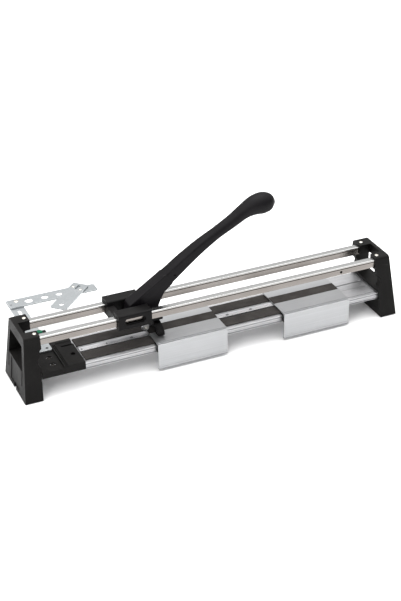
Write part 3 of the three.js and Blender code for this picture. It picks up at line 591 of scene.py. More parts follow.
@dataclass(frozen=True)
class Finish:
    """What every finish shares: a name, a colour and a roughness, and how its material is started."""

    name: str
    colour: Colour
    roughness: float

    def material(self) -> bpy.types.Material:
        """Return the finish's material, made on its first use."""
        made = bpy.data.materials.get(self.name)
        if made:
            return made
        material = bpy.data.materials.new(self.name)
        material.use_nodes = True
        material.diffuse_color = (*self.colour, 1.0)
        graph = Graph(material.node_tree)
        self.dress(graph, material.node_tree.nodes["Principled BSDF"])
        return material

    def dress(self, graph: Graph, shader: bpy.types.Node) -> None:
        """Wire the finish's own surface into the shader."""
        raise NotImplementedError

    def relief(self, graph: Graph, shader: bpy.types.Node, height: Feed, depth: float) -> None:
        """Feed a height to the shader's normal.

        Args:
            graph: The material's tree.
            shader: Its Principled BSDF.
            height: The height, from 0 to 1.
            depth: The depth in metres that 1 stands for.
        """
        bump = graph.add("ShaderNodeBump", {"Height": height, "Distance": depth, "Strength": 1.0})
        graph.feed(shader.inputs["Normal"], bump.outputs[0])


@dataclass(frozen=True)
class Moulding(Finish):
    """A grained plastic moulding with rubbed edges, stray scratches and a little dust."""

    rubbed: Colour = (0.03, 0.029, 0.028)
    grain: float = 2400.0
    depth: float = 0.00006
    dust: float = 0.03
    wear: float = 0.4
    specular: float = 0.11

    def dress(self, graph: Graph, shader: bpy.types.Node) -> None:
        """Wire the moulding's grain, mottling, wear and dust."""
        grain = GRAIN.put(graph, Scale=self.grain)
        edge = EDGE_WEAR.put(graph)["Edge"]
        scratch = SCRATCHES.put(graph)["Mask"]
        dust = DUST.put(graph, Amount=self.dust)["Mask"]
        lighter = tuple(min(1.0, c * 1.45 + 0.002) for c in self.colour)
        body = graph.mix(grain["Mottle"], self.colour, lighter)
        worn = graph.mix(graph.times(edge, self.wear), body, self.rubbed)
        marked = graph.mix(graph.times(scratch, 0.35), worn, self.rubbed)
        graph.feed(shader.inputs["Base Color"], graph.mix(dust, marked, (0.30, 0.28, 0.26)))
        low = self.roughness - 0.05
        patchy = graph.span(grain["Mottle"], 0.0, 1.0, low, self.roughness + 0.07)
        polish_and_painted_highlight = graph.minus(patchy, graph.times(edge, 0.1))
        graph.feed(shader.inputs["Roughness"], graph.plus(polish_and_painted_highlight, graph.times(dust, 0.3), True))
        shader.inputs["Specular IOR Level"].default_value = self.specular
        height = graph.minus(grain["Height"], graph.times(scratch, 0.6))
        self.relief(graph, shader, height, self.depth)


@dataclass(frozen=True)
class Rubber(Finish):
    """Matt rubber with a fine tooth, scuffs and dust held in its grooves."""

    scuffed: Colour = (0.10, 0.095, 0.09)
    dust: float = 0.3

    def dress(self, graph: Graph, shader: bpy.types.Node) -> None:
        """Wire the rubber's tooth, scuffs and dust."""
        grain = GRAIN.put(graph, Scale=1500.0, Mottling=40.0)
        streak = BRUSHED.put(graph, X=30.0, Y=600.0, Z=600.0)["Streak"]
        edge = EDGE_WEAR.put(graph, Radius=0.0005)["Edge"]
        dust = DUST.put(graph, Amount=self.dust)["Mask"]
        scuff = graph.times(graph.times(streak, grain["Mottle"]), 0.45)
        body = graph.mix(graph.plus(scuff, graph.times(edge, 0.3), True), self.colour, self.scuffed)
        graph.feed(shader.inputs["Base Color"], graph.mix(dust, body, (0.26, 0.25, 0.23)))
        low = self.roughness - 0.08
        graph.feed(shader.inputs["Roughness"], graph.span(grain["Mottle"], 0, 1, low, self.roughness))
        shader.inputs["Specular IOR Level"].default_value = 0.3
        self.relief(graph, shader, grain["Height"], 0.00012)


@dataclass(frozen=True)
class DrawnMetal(Finish):
    """Extruded or drawn metal: lines along X, slow tarnish, brighter edges, stray scratches and an optional
    painted highlight along the top.
    """

    tarnish: Colour = (0.4, 0.38, 0.36)
    pull: float = 9.0
    pitch: float = 2400.0
    streaks: float = 0.35
    depth: float = 0.00003
    # Colour of a painted highlight along the top of the piece; None leaves it out.
    crown: Colour | None = None
    crown_start: float = 0.0

    def dress(self, graph: Graph, shader: bpy.types.Node) -> None:
        """Wire the drawn lines, tarnish and edges, and the painted highlight along the top."""
        lines = BRUSHED.put(graph, X=self.pull, Y=self.pitch, Z=self.pitch)
        mottle = GRAIN.put(graph, Scale=900.0, Mottling=16.0)["Mottle"]
        edge = EDGE_WEAR.put(graph, Radius=0.0006)["Edge"]
        scratch = SCRATCHES.put(graph, Scale=34.0)["Mask"]
        clouded = graph.mix(graph.times(mottle, 0.3), self.colour, self.tarnish)
        lined = graph.mix(graph.times(lines["Streak"], self.streaks), clouded, self.tarnish)
        bright = tuple(min(1.0, c * 1.25) for c in self.colour)
        # Painted highlight: above a set height the base colour fades to the lighter crown colour, standing in
        # for the bright reflection on the rounded top.
        if self.crown:
            where = graph.add("ShaderNodeNewGeometry").outputs["Position"]
            height = graph.add("ShaderNodeSeparateXYZ", {0: where}).outputs["Z"]
            polish_and_painted_highlight = graph.span(height, self.crown_start, self.crown_start + 0.6 * MM, 0.0, 1.0)
            lined = graph.mix(polish_and_painted_highlight, lined, self.crown)
            bright = self.colour
        graph.feed(shader.inputs["Base Color"], graph.mix(graph.times(edge, 0.6), lined, bright))
        shader.inputs["Metallic"].default_value = 1.0
        spread = graph.span(lines["Streak"], 0, 1, self.roughness - 0.06, self.roughness + 0.08)
        scored = graph.plus(spread, graph.times(scratch, 0.12), True)
        graph.feed(shader.inputs["Roughness"], scored)
        self.relief(graph, shader, lines["Height"], self.depth)


@dataclass(frozen=True)
class ZincSheet(Finish):
    """Galvanised sheet: spangled, dull, with paler cut edges."""

    dull: Colour = (0.42, 0.44, 0.46)

    def dress(self, graph: Graph, shader: bpy.types.Node) -> None:
        """Wire the spangle, its dull patches and the cut edges."""
        tone = SPANGLE.put(graph)["Tone"]
        mottle = GRAIN.put(graph, Scale=1200.0, Mottling=30.0)
        edge = EDGE_WEAR.put(graph, Radius=0.0006)["Edge"]
        scratch = SCRATCHES.put(graph, Scale=40.0)["Mask"]
        patches = graph.mix(graph.times(tone, 0.5), self.colour, self.dull)
        clouded = graph.mix(graph.times(mottle["Mottle"], 0.25), patches, self.dull)
        marks = graph.plus(graph.times(edge, 0.5), graph.times(scratch, 0.4), True)
        graph.feed(shader.inputs["Base Color"], graph.mix(marks, clouded, (0.86, 0.87, 0.88)))
        shader.inputs["Metallic"].default_value = 0.85
        low = self.roughness - 0.08
        graph.feed(shader.inputs["Roughness"], graph.span(tone, 0, 1, low, self.roughness + 0.1))
        self.relief(graph, shader, mottle["Height"], 0.00003)


@dataclass(frozen=True)
class Plated(Finish):
    """Small plated or ground steel: bright, faintly ringed, darker where grease has stayed."""

    grease: Colour = (0.16, 0.14, 0.11)

    def dress(self, graph: Graph, shader: bpy.types.Node) -> None:
        """Wire the plating's clouding, grease and fine marks."""
        mottle = GRAIN.put(graph, Scale=3200.0, Mottling=420.0)
        edge = EDGE_WEAR.put(graph, Radius=0.0003)["Edge"]
        bright = tuple(min(1.0, c * 1.2) for c in self.colour)
        soiled = graph.mix(graph.times(mottle["Mottle"], 0.35), self.colour, self.grease)
        graph.feed(shader.inputs["Base Color"], graph.mix(edge, soiled, bright))
        shader.inputs["Metallic"].default_value = 1.0
        low = self.roughness - 0.06
        graph.feed(shader.inputs["Roughness"], graph.span(mottle["Mottle"], 0, 1, low, self.roughness + 0.12))
        self.relief(graph, shader, mottle["Height"], 0.00002)


@dataclass(frozen=True)
class StudioFloor(Finish):
    """The pale seamless paper that the cutter stands on."""

    def dress(self, graph: Graph, shader: bpy.types.Node) -> None:
        """Wire the paper's barely seen tooth."""
        tooth = graph.noise(300.0, 3.0)
        shade = tuple(c * 0.985 for c in self.colour)
        graph.feed(shader.inputs["Base Color"], graph.mix(tooth, self.colour, shade))
        shader.inputs["Roughness"].default_value = self.roughness
        shader.inputs["Specular IOR Level"].default_value = 0.1


BLOCK_PLASTIC = Moulding("black_block_moulding", (0.0030, 0.0027, 0.0025), 0.5)
CARRIAGE_PLASTIC = Moulding("black_carriage_moulding", (0.0022, 0.0019, 0.0021), 0.46, dust=0.015)
LEVER_PLASTIC = Moulding("black_lever_moulding", (0.0034, 0.0029, 0.0037), 0.42, dust=0.01, grain=3000.0)
BUSH_PLASTIC = Moulding("dark_bush_moulding", (0.006, 0.0055, 0.005), 0.38, dust=0.02, grain=3400.0)
GREEN_PLASTIC = Moulding("green_knob_moulding", (0.002, 0.105, 0.05), 0.4, rubbed=(0.05, 0.3, 0.17),
                         dust=0.05)
FOOT_RUBBER = Rubber("foot_rubber", (0.02, 0.019, 0.018), 0.8)
PAD_RUBBER = Rubber("pad_rubber_grey", (0.026, 0.0225, 0.021), 0.85, scuffed=(0.06, 0.056, 0.052),
                    dust=0.12)
SCALE_INK = Rubber("scale_ink", (0.03, 0.03, 0.032), 0.7, scuffed=(0.08, 0.08, 0.08), dust=0.0)
ALUMINIUM = DrawnMetal("extruded_aluminium", (0.52, 0.52, 0.53), 0.36, tarnish=(0.33, 0.33, 0.34))
WING_METAL = DrawnMetal("anodised_aluminium", (0.45, 0.455, 0.465), 0.46, tarnish=(0.35, 0.355, 0.36),
                        streaks=0.3)
# The rail's crown colour is a painted highlight: a lighter band of colour along its rounded top.
RAIL_STEEL = DrawnMetal("ground_rail_steel", (0.27, 0.25, 0.235), 0.22, tarnish=(0.13, 0.118, 0.108),
                        pull=4.0, crown=(0.5, 0.5, 0.495),
                        crown_start=Extent.of("front_rail").high.z - 2.7 * MM)
HOLDER_STEEL = Plated("ground_holder_steel", (0.5, 0.5, 0.5), 0.32)
SHEET_STEEL = ZincSheet("galvanised_sheet", (0.46, 0.48, 0.49), 0.36, dull=(0.3, 0.32, 0.33))
SCREW_ZINC = Plated("bright_zinc_screw", (0.78, 0.76, 0.7), 0.28)
# Painted shade: the guide plate's zinc screws are coloured near black, for the shade of the recesses they sit
# in.
SCREW_RECESS_SHADE = Plated("blackened_screw", (0.035, 0.033, 0.03), 0.4, grease=(0.01, 0.009, 0.008))
CARBIDE = Plated("wheel_carbide", (0.42, 0.43, 0.45), 0.22)
PAPER = StudioFloor("studio_paper", (0.93, 0.93, 0.93), 0.9)


# ---- Handing over -----------------------------------------------------------------------------------


def hand_over(node: str, ending: str, solid: Solid, finish: Finish, smooth: float = 34.0) -> None:
    """Give a finished solid to the frame, on its node's body.

    Args:
        node: The node that it replaces, or the stem of the name of a piece that replaces none.
        ending: What the piece's name adds to the node's.
        solid: Its shape.
        finish: Its finish.
        smooth: Largest angle, in degrees, that is still shaded as a curve.
    """
    name = f"{node}_{ending}"
    body = BODY_OF.get(node, "stand")
    mesh = solid.mesh
    mesh.name = name
    mesh.shade_smooth()
    mesh.set_sharp_from_angle(angle=math.radians(smooth))
    mesh.materials.clear()
    mesh.materials.append(finish.material())
    piece = bpy.data.objects.new(name, mesh)
    bpy.context.scene.collection.objects.link(piece)
    piece.modifiers.new("even_shading", "WEIGHTED_NORMAL").keep_sharp = True
    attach(piece, body)
    if node in BODY_OF:
        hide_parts(node)
    LOG.info("%s rides on %s with %d faces", name, body, len(mesh.polygons))


def ribbed(extent: Extent, rib: float, groove: Point, corner: float, steps: int) -> list[Point]:
    """Return the Y-Z outline of a strip with a fine groove between each two ribs of its top.

    Args:
        extent: The strip's box.
        rib: About how wide one rib is.
        groove: Half a groove's width, and its depth.
        corner: How round the two top corners are.
        steps: Steps of each rounded corner.

    Returns:
        The outline.
    """
    low, high = extent.low, extent.high
    half, depth = groove
    count = round(extent.size.y / rib)
    pitch = extent.size.y / count
    corners: list[Corner] = [(low.y, low.z, 0), (high.y, low.z, 0), (high.y, high.z, corner)]
    for i in range(count - 1, 0, -1):
        y = low.y + i * pitch
        corners += [(y + half, high.z, 0), (y, high.z - depth, 0), (y - half, high.z, 0)]
    corners.append((low.y, high.z, corner))
    return eased(corners, steps)


def box_tool(low: Sequence[float], high: Sequence[float]) -> Solid:
    """Return a plain block that only ever cuts or joins other solids."""
    outline = [(low[0], low[1]), (high[0], low[1]), (high[0], high[1]), (low[0], high[1])]
    return Solid.bar(Axis.Z, outline, low[2], high[2])


def rod_tool(axis: Axis, centre: Point, radius: float, low: float, high: float, steps: int = 28) -> Solid:
    """Return a plain round bar that only ever cuts or joins other solids."""
    return Solid.bar(axis, circle(centre, radius, steps), low, high)


# ---- Screws -----------------------------------------------------------------------------------------


@dataclass
class CrossScrews:
    """The zinc screws: a domed head with a cross recess, on a plain shank."""

    dome: float = 0.82
    recess: float = 0.58
    blade: float = 0.95 * MM
    recess_depth: float = 1.3 * MM
    shank: float = 2.0 * MM

    def screw(self, axis: Axis, extent: Extent, head_high: bool) -> Solid:
        """Return one screw that fills a node's box.

        Args:
            axis: The screw's own axis.
            extent: Its box.
            head_high: Whether the head is at the high end of the axis.

        Returns:
            The solid.
        """
        index = axis.value
        across = (index + 1) % 3
        radius = extent.size[across] / 2
        length = extent.size[index]
        head = min(2.6 * MM, length * 0.45)
        sign = 1 if head_high else -1
        origin = extent.middle.copy()
        origin[index] = extent.high[index] if head_high else extent.low[index]
        dome = [(0.0, 0.0)]
        for step in range(1, 9):
            angle = step / 8 * math.pi / 2
            dome.append((radius * math.sin(angle), -head * self.dome * (1 - math.cos(angle))))
        profile = dome + [(radius, -head), (self.shank, -head), (self.shank, -length), (0.0, -length)]
        body = Solid.turned(axis, origin, [(r, h * sign) for r, h in profile], 32)
        slots = []
        wide = radius * self.recess
        for a, b in ((wide, self.blade / 2), (self.blade / 2, wide)):
            outline = round_rect((-a, -b), (a, b), self.blade * 0.3, 3)
            moved = [(p + origin[(index + 1) % 3], q + origin[(index + 2) % 3]) for p, q in outline]
            if axis is Axis.Y:
                moved = [(p + origin.x, q + origin.z) for p, q in outline]
            start, end = sorted((origin[index] - sign * self.recess_depth, origin[index] + sign * MM))
            slots.append(Solid.bar(axis, moved, start, end))
        return body.cut(*slots)

    def build(self) -> None:
        """Make every screw of the stand."""
        for side in Side:
            for end in ("front", "rear"):
                node = f"rail_screw_{side.word}_{end}"
                solid = self.screw(Axis.Z, Extent.of(node), True)
                hand_over(node, "zinc", solid, SCREW_ZINC)
                node = f"base_screw_{side.word}_{end}"
                solid = self.screw(Axis.X, Extent.of(node), side is Side.RIGHT)
                hand_over(node, "zinc", solid, SCREW_ZINC)
        # The guide plate's screws get a near-black colour that paints the shade of their recesses.
        for place in ("channel_front", "channel_rear", "platform"):
            node = f"plate_screw_{place}"
            solid = self.screw(Axis.Z, Extent.of(node), True)
            hand_over(node, "black", solid, SCREW_RECESS_SHADE)


# ---- End blocks and feet ----------------------------------------------------------------------------


@dataclass
class EndBlocks:
    """The two moulded end blocks on their rubber feet."""

    edge: float = 0.9 * MM
    lean: float = 12 * MM
    panel_low: float = 9 * MM
    panel_high: float = 55 * MM
    panel_half: float = 26 * MM
    panel_depth: float = 1.1 * MM
    foot_tread: float = 0.8 * MM

    def panel(self, side: Side, extent: Extent) -> Solid:
        """Return the shallow recess of the outer face, which follows the face's lean.

        Args:
            side: The block's side.
            extent: The block's box.

        Returns:
            The tool that cuts the recess.
        """
        outer = extent.low.x if side is Side.LEFT else extent.high.x
        height = extent.size.z
        inward = -side.value

        def face(z: float, depth: float) -> Point:
            """Return a point at a height and a depth behind the leaning outer face."""
            return outer + inward * (self.lean * z / height + depth), z

        out = -6 * MM
        outline = [face(self.panel_low, out), face(self.panel_low, self.panel_depth),
                   face(self.panel_high, self.panel_depth), face(self.panel_high, out)]
        middle = extent.middle.y
        return Solid.bar(Axis.Y, outline, middle - self.panel_half, middle + self.panel_half)

    def foot(self, node: str) -> Solid:
        """Return a rubber foot with a rounded rim and a ring groove in its tread."""
        extent = Extent.of(node)
        radius = extent.size.x / 2
        height = extent.size.z
        centre = extent.middle.copy()
        centre.z = extent.low.z
        tread = self.foot_tread
        profile = [(0, tread), (radius * 0.3, tread), (radius * 0.36, 0), (radius * 0.6, 0),
                   (radius * 0.64, tread * 0.7), (radius * 0.7, tread * 0.7), (radius * 0.74, 0),
                   (radius - 1.5 * MM, 0), (radius - 0.5 * MM, 0.45 * MM), (radius, 1.5 * MM),
                   (radius, height), (0, height)]
        return Solid.turned(Axis.Z, centre, profile, 40)

    def build(self) -> None:
        """Make both blocks and the four feet."""
        for side in Side:
            node = f"{side.word}_end_block"
            extent = Extent.of(node)
            solid = Solid.from_node(node).cut(self.panel(side, extent)).soften(self.edge, 2)
            hand_over(node, "moulding", solid, BLOCK_PLASTIC)
            for end in ("front", "rear"):
                node = f"foot_{side.word}_{end}"
                hand_over(node, "rubber", self.foot(node), FOOT_RUBBER)


# ---- Rails ------------------------------------------------------------------------------------------


@dataclass
class Rails:
    """The two ground steel rails with their rounded crowns."""

    crown: float = 3.4 * MM
    ease: float = 0.8 * MM
    line_drop: float = 3.5 * MM
    line_height: float = 1.5 * MM
    line_depth: float = 1.6 * MM
    stop_hole: float = 2.8 * MM
    stop_depth: float = 13 * MM
    stop_inset: float = 98 * MM
    stop_height: float = 0.42

    def build(self) -> None:
        """Make both rails, the front one with its stop hole."""
        for end in ("front", "rear"):
            node = f"{end}_rail"
            extent = Extent.of(node)
            low, high = extent.low, extent.high
            upper = high.z - self.line_drop
            lower = upper - self.line_height
            under = low.z + self.line_height
            near, far = low.y + self.line_depth, high.y - self.line_depth
            corners = [
                (near, low.z, self.ease), (far, low.z, self.ease), (far, under, 0), (high.y, under, 0),
                (high.y, lower, 0), (far, lower, 0), (far, upper, 0), (high.y, upper, 0),
                (high.y, high.z, self.crown), (low.y, high.z, self.crown),
                (low.y, upper, 0), (near, upper, 0), (near, lower, 0), (low.y, lower, 0),
                (low.y, under, 0), (near, under, 0),
            ]
            solid = Solid.bar(Axis.X, eased(corners, 9), low.x, high.x)
            if end == "front":
                hole = (high.x - self.stop_inset, low.z + extent.size.z * self.stop_height)
                solid = solid.cut(rod_tool(Axis.Y, hole, self.stop_hole, low.y - MM, low.y + self.stop_depth))
            hand_over(node, "steel", solid, RAIL_STEEL)


# ---- Base, pads and ridge ---------------------------------------------------------------------------


@dataclass
class Base:
    """The aluminium base extrusion, its rubber pads and the breaking ridge with its scale."""

    rib_pitch: float = 2.0 * MM
    rib_depth: float = 0.22 * MM
    pad_rib: float = 1.72 * MM
    pad_groove: float = 0.3 * MM
    tick_pitch: float = 5 * MM
    ink: float = 0.12 * MM

    def deck(self, extent: Extent, front_pad: Extent, rear_pad: Extent) -> list[Point]:
        """Return the extrusion's outline.

        Args:
            extent: The base's box.
            front_pad: The front pad's box.
            rear_pad: The rear pad's box.

        Returns:
            The outline in Y and Z, with its grooves and fine ribs.
        """
        low, high = extent.low, extent.high
        top = high.z
        sink = 1.5 * MM
        grooves = [(front_pad.low.y - 2 * MM, front_pad.low.y - 0.2 * MM),
                   (front_pad.high.y + 0.3 * MM, front_pad.high.y + 1.3 * MM),
                   (rear_pad.low.y - 4 * MM, rear_pad.low.y - 0.5 * MM)]
        points: list[Corner] = [
            (low.y + 1.5 * MM, low.z, 0.4 * MM), (high.y, low.z, 0.5 * MM), (high.y, top, 0.8 * MM),
        ]
        y = high.y - 2.5 * MM
        while y > low.y + 3 * MM:
            inside = [g for g in grooves if g[0] - 0.6 * MM < y < g[1] + 0.6 * MM]
            if inside:
                g0, g1 = inside[0]
                lip = 0.15 * MM
                points += [(g1, top, lip), (g1, top - sink, 0), (g0, top - sink, 0), (g0, top, lip)]
                y = g0 - 1.0 * MM
                continue
            depth = self.rib_depth
            points += [(y, top, 0), (y - 0.25 * MM, top - depth, 0), (y - 0.5 * MM, top, 0)]
            y -= self.rib_pitch
        front = low.y
        points += in_mm((front, top), (0, 0, 2), (0, -2.6, 0.8), (2.6, -2.8, 0), (2.6, -4.4, 0),
                        (0.9, -4.5, 0.3), (1.3, -8.2, 0), (0, -8.6, 0.8), (0, -10.4, 0.8), (6, -10.6, 0))
        points += in_mm((front, low.z), (6, 1.4, 0), (1.2, 1.4, 0.3))
        return eased(points, 4)

    def cells(self, extent: Extent) -> list[list[Point]]:
        """Return the hollow cells that run the length of the extrusion."""
        skin = 3 * MM
        front, rear = extent.low.y, extent.high.y
        edges = [front + 8 * MM, front + 18 * MM, front + 26 * MM,
                 rear - 26 * MM, rear - 18 * MM, rear - skin]
        low, high = extent.low.z + skin, extent.high.z - skin
        return [round_rect((a, low), (b, high), 0.8 * MM, 3) for a, b in zip(edges[::2], edges[1::2])]

    def scale(self, extent: Extent) -> Solid:
        """Return the ink of the ridge's scale: ticks along its shoulder and plain numbers."""
        bm = bmesh.new()
        shoulder_front = extent.low.y
        slope = 1.2 * MM / (extent.size.y / 2 - 2 * MM)

        def surface(y: float) -> float:
            """Return the height of the ridge's front slope at a place across it."""
            return extent.high.z - 1.2 * MM + slope * (y - shoulder_front)

        def stamp(points: Sequence[Point]) -> None:
            """Add one flat inked shape, laid on the slope."""
            floor = [bm.verts.new((x, y, surface(y) - self.ink)) for x, y in points]
            roof = [bm.verts.new((x, y, surface(y) + self.ink * 0.4)) for x, y in points]
            bm.faces.new(roof)
            bm.faces.new(list(reversed(floor)))
            for i in range(len(points)):
                j = (i + 1) % len(points)
                bm.faces.new((floor[i], floor[j], roof[j], roof[i]))

        start = extent.low.x + 4 * MM
        count = int((extent.size.x - 8 * MM) / self.tick_pitch)
        for i in range(count + 1):
            x = start + i * self.tick_pitch
            length = (3.2 if i % 10 == 0 else 2.2 if i % 2 == 0 else 1.4) * MM
            y0 = shoulder_front + 0.4 * MM
            half = 0.22 * MM
            stamp([(x - half, y0), (x + half, y0), (x + half, y0 + length), (x - half, y0 + length)])
        for i in range(0, count, 10):
            text = bpy.data.curves.new("number", "FONT")
            text.body = str(i // 2)
            text.size = 6.2 * MM
            text.offset = 0.32 * MM
            text.align_x = "CENTER"
            text.resolution_u = 3
            holder = bpy.data.objects.new("number", text)
            flat = bpy.data.meshes.new_from_object(holder)
            bpy.data.objects.remove(holder)
            x0 = start + i * self.tick_pitch
            y0 = shoulder_front + 2.6 * MM
            for polygon in flat.polygons:
                places = [flat.vertices[v].co for v in polygon.vertices]
                stamp([(x0 + p.x, y0 + p.y * 0.9) for p in places])
        bmesh.ops.recalc_face_normals(bm, faces=bm.faces)
        mesh = bpy.data.meshes.new("scale")
        bm.to_mesh(mesh)
        bm.free()
        return Solid(mesh)

    def build(self) -> None:
        """Make the base with everything that lies on it."""
        extent = Extent.of("base_extrusion")
        front, rear = Extent.of("front_pad"), Extent.of("rear_pad")
        outline = self.deck(extent, front, rear)
        deck = Solid.bar(Axis.X, outline, extent.low.x, extent.high.x, self.cells(extent))
        hand_over("base_extrusion", "aluminium", deck, ALUMINIUM)
        for node, pad in (("front_pad", front), ("rear_pad", rear)):
            outline = ribbed(pad, self.pad_rib, (0.35 * MM, self.pad_groove), 0.6 * MM, 4)
            solid = Solid.bar(Axis.X, outline, pad.low.x, pad.high.x)
            hand_over(node, "ribbed", solid, PAD_RUBBER)
        ridge = Extent.of("breaking_ridge")
        low, high, middle = ridge.low, ridge.high, ridge.middle.y
        shoulder = high.z - 1.2 * MM
        corners = [(low.y, low.z, 0), (high.y, low.z, 0), (high.y, shoulder, 0.5 * MM),
                   (middle + 2 * MM, high.z, 0.5 * MM), (middle + 0.7 * MM, high.z, 0.1 * MM),
                   (middle, high.z - 0.5 * MM, 0), (middle - 0.7 * MM, high.z, 0.1 * MM),
                   (middle - 2 * MM, high.z, 0.5 * MM), (low.y, shoulder, 0.5 * MM)]
        solid = Solid.bar(Axis.X, eased(corners, 4), low.x, high.x)
        hand_over("breaking_ridge", "aluminium", solid, ALUMINIUM)
        hand_over("ridge_scale", "ink", self.scale(ridge), SCALE_INK)


# ---- Fence ------------------------------------------------------------------------------------------


@dataclass
class Fence:
    """The guide plate, the sliding carrier, the swivelling arm with its corner plate, and the clamp."""

    edge: float = 0.35 * MM
    corner: float = 4.5 * MM
    arm_holes: tuple[Point, ...] = ((24.0, 8.5), (57.0, 7.5), (87.0, 6.5))
    plate_length: float = 106 * MM
    plate_width: float = 35 * MM
    platform_rise: float = 5.6 * MM
    scoop_half: float = 13 * MM
    scoop_reach: float = 12 * MM
    scoop_depth: float = 4.5 * MM
    pin_clearance: float = 2.8 * MM
    rivet_clearance: float = 2.3 * MM
    lobes: int = 6
    groove_steps: tuple[float, ...] = (3.2 * MM, 6.4 * MM)
    groove_width: float = 1.7 * MM
    groove_depth: float = 2 * MM
    groove_margin: float = 20 * MM
    scoop_margin: float = 5 * MM
    recess: float = 5.4 * MM
    recess_depth: float = 1.6 * MM

    def pivot(self) -> Point:
        """Return the swivel's place."""
        middle = Extent.of("fence_pivot_pin").middle
        return middle.x, middle.y

    def pin_hole(self, node: str, radius: float) -> list[Point]:
        """Return a round hole at the middle of a pin."""
        middle = Extent.of(node).middle
        return circle((middle.x, middle.y), radius, 24)

    def rivet_holes(self) -> list[list[Point]]:
        """Return the holes of the two rivets that join the arm and the corner plate."""
        return [self.pin_hole(f"corner_rivet_{end}", self.rivet_clearance) for end in ("outer", "inner")]

    def guide_plate(self) -> None:
        """Make the moulded guide plate, with countersinks and a grooved step."""
        node = "fence_guide_plate"
        extent = Extent.of(node)
        base = Extent.of("base_extrusion")
        platform = base.high.z + self.platform_rise
        rear = base.high.y - self.groove_margin
        cuts = []
        for away in self.groove_steps:
            x = Extent.of("fence_carrier").high.x + away
            cuts.append(box_tool((x, extent.low.y - MM, platform - self.groove_depth),
                                 (x + self.groove_width, rear, platform + MM)))
        cuts.append(self.scoop(extent, rear - self.scoop_margin))
        for place in ("channel_front", "channel_rear"):
            head = Extent.of(f"plate_screw_{place}")
            spot = (head.middle.x, head.middle.y)
            low = head.high.z - self.recess_depth
            cuts.append(rod_tool(Axis.Z, spot, self.recess, low, head.high.z + 3 * MM))
        solid = Solid.from_node(node).cut(*cuts).soften(0.6 * MM, 2)
        hand_over(node, "moulding", solid, BLOCK_PLASTIC)

    def scoop(self, extent: Extent, rear: float) -> Solid:
        """Return the tool that cuts the finger scoop, straight behind and curved in front.

        Args:
            extent: The guide plate's box.
            rear: Where the platform's grooves end.

        Returns:
            The tool.
        """
        centre = extent.high.x - self.scoop_half - 0.5 * MM
        outline = [(centre + self.scoop_half, rear), (centre - self.scoop_half, rear)]
        for step in range(1, 24):
            angle = math.pi + math.pi * step / 24
            outline.append((centre + self.scoop_half * math.cos(angle),
                            rear + self.scoop_reach * math.sin(angle)))
        top = Extent.of("base_extrusion").high.z + self.platform_rise
        return Solid.bar(Axis.Z, outline, top - self.scoop_depth, extent.high.z + MM)

    def sheet(self, node: str, outline: Sequence[Point], holes: Sequence[Sequence[Point]]) -> None:
        """Make one flat steel sheet as thick as its node.

        Args:
            node: The sheet's node.
            outline: Its outline in X and Y.
            holes: The outlines of its holes.
        """
        extent = Extent.of(node)
        solid = Solid.bar(Axis.Z, outline, extent.low.z, extent.high.z, holes, self.edge)
        hand_over(node, "sheet", solid, SHEET_STEEL)

    def carrier(self) -> None:
        """Make the carrier bar with its swivel hole, its clamp slot and its eye."""
        extent = Extent.of("fence_carrier")
        low, middle = extent.low, extent.middle
        slot_y = self.pivot()[1] - 40 * MM
        holes = [self.pin_hole("fence_pivot_pin", self.pin_clearance),
                 circle((middle.x + 6 * MM, low.y + 9 * MM), 2.6 * MM),
                 eased(in_mm((middle.x, slot_y), (-3, -11, 2.9), (3, -11, 2.9), (3, 11, 2.9),
                             (-3, 11, 2.9)))]
        outline = round_rect((low.x, low.y), (extent.high.x, extent.high.y), self.corner)
        self.sheet("fence_carrier", outline, holes)

    def arm(self) -> None:
        """Make the arm with its three round holes and its stepped tip."""
        extent = Extent.of("fence_arm")
        low, high = extent.low, extent.high
        pivot = self.pivot()
        holes = [circle((pivot[0] + x * MM, extent.middle.y), r * MM, 40) for x, r in self.arm_holes]
        holes.append(self.pin_hole("fence_pivot_pin", self.pin_clearance))
        holes.append(circle((pivot[0] - 13.2 * MM, pivot[1] - 10 * MM), 1.5 * MM, 20))
        holes += self.rivet_holes()
        corners = [*in_mm((low.x, low.y), (0, 0, 5)), *in_mm((high.x, low.y), (0, 0, 3)),
                   *in_mm((high.x, high.y), (0, -6, 5), (-22, -6, 1.5), (-22, 0, 1.5)),
                   *in_mm((low.x, high.y), (0, 0, 5))]
        self.sheet("fence_arm", eased(corners), holes)

    def corner_plate(self) -> None:
        """Make the slanted corner plate with its slot and its round hole."""
        centre = Extent.of("fence_corner_plate").middle
        turn = Matrix.Rotation(math.radians(45), 2)
        half, wide = self.plate_length / 2, self.plate_width / 2

        def turned(loop: Iterable[Point]) -> list[Point]:
            """Return an outline laid along the plate's own slant."""
            places = [turn @ Vector(point) for point in loop]
            return [(p.x + centre.x, p.y + centre.y) for p in places]

        holes = [turned(round_rect((half - 25 * MM, -3 * MM), (half - 7 * MM, 3 * MM), 2.9 * MM)),
                 turned(circle((17 * MM - half, 0), 5 * MM)), *self.rivet_holes()]
        self.sheet("fence_corner_plate", turned(round_rect((-half, -wide), (half, wide), 5 * MM)), holes)

    def rivets(self) -> None:
        """Make the swivel pin and the two rivets of the corner plate."""
        for node in ("fence_pivot_pin", "corner_rivet_outer", "corner_rivet_inner"):
            extent = Extent.of(node)
            radius = extent.size.x / 2
            shank = radius * 0.5 if node == "fence_pivot_pin" else radius * 0.59
            centre = extent.middle.copy()
            centre.z = extent.low.z
            top = extent.size.z
            dome = [(radius * math.cos(a), top - 1.5 * MM * (1 - math.sin(a)))
                    for a in (i * math.pi / 16 for i in range(8))]
            profile = [(0, 0), (radius * 0.7, 0), (radius, 0.9 * MM), (shank, 0.9 * MM),
                       (shank, top - 1.5 * MM)]
            profile += dome + [(0, top)]
            solid = Solid.turned(Axis.Z, centre, profile, 32)
            hand_over(node, "zinc", solid, SCREW_ZINC)

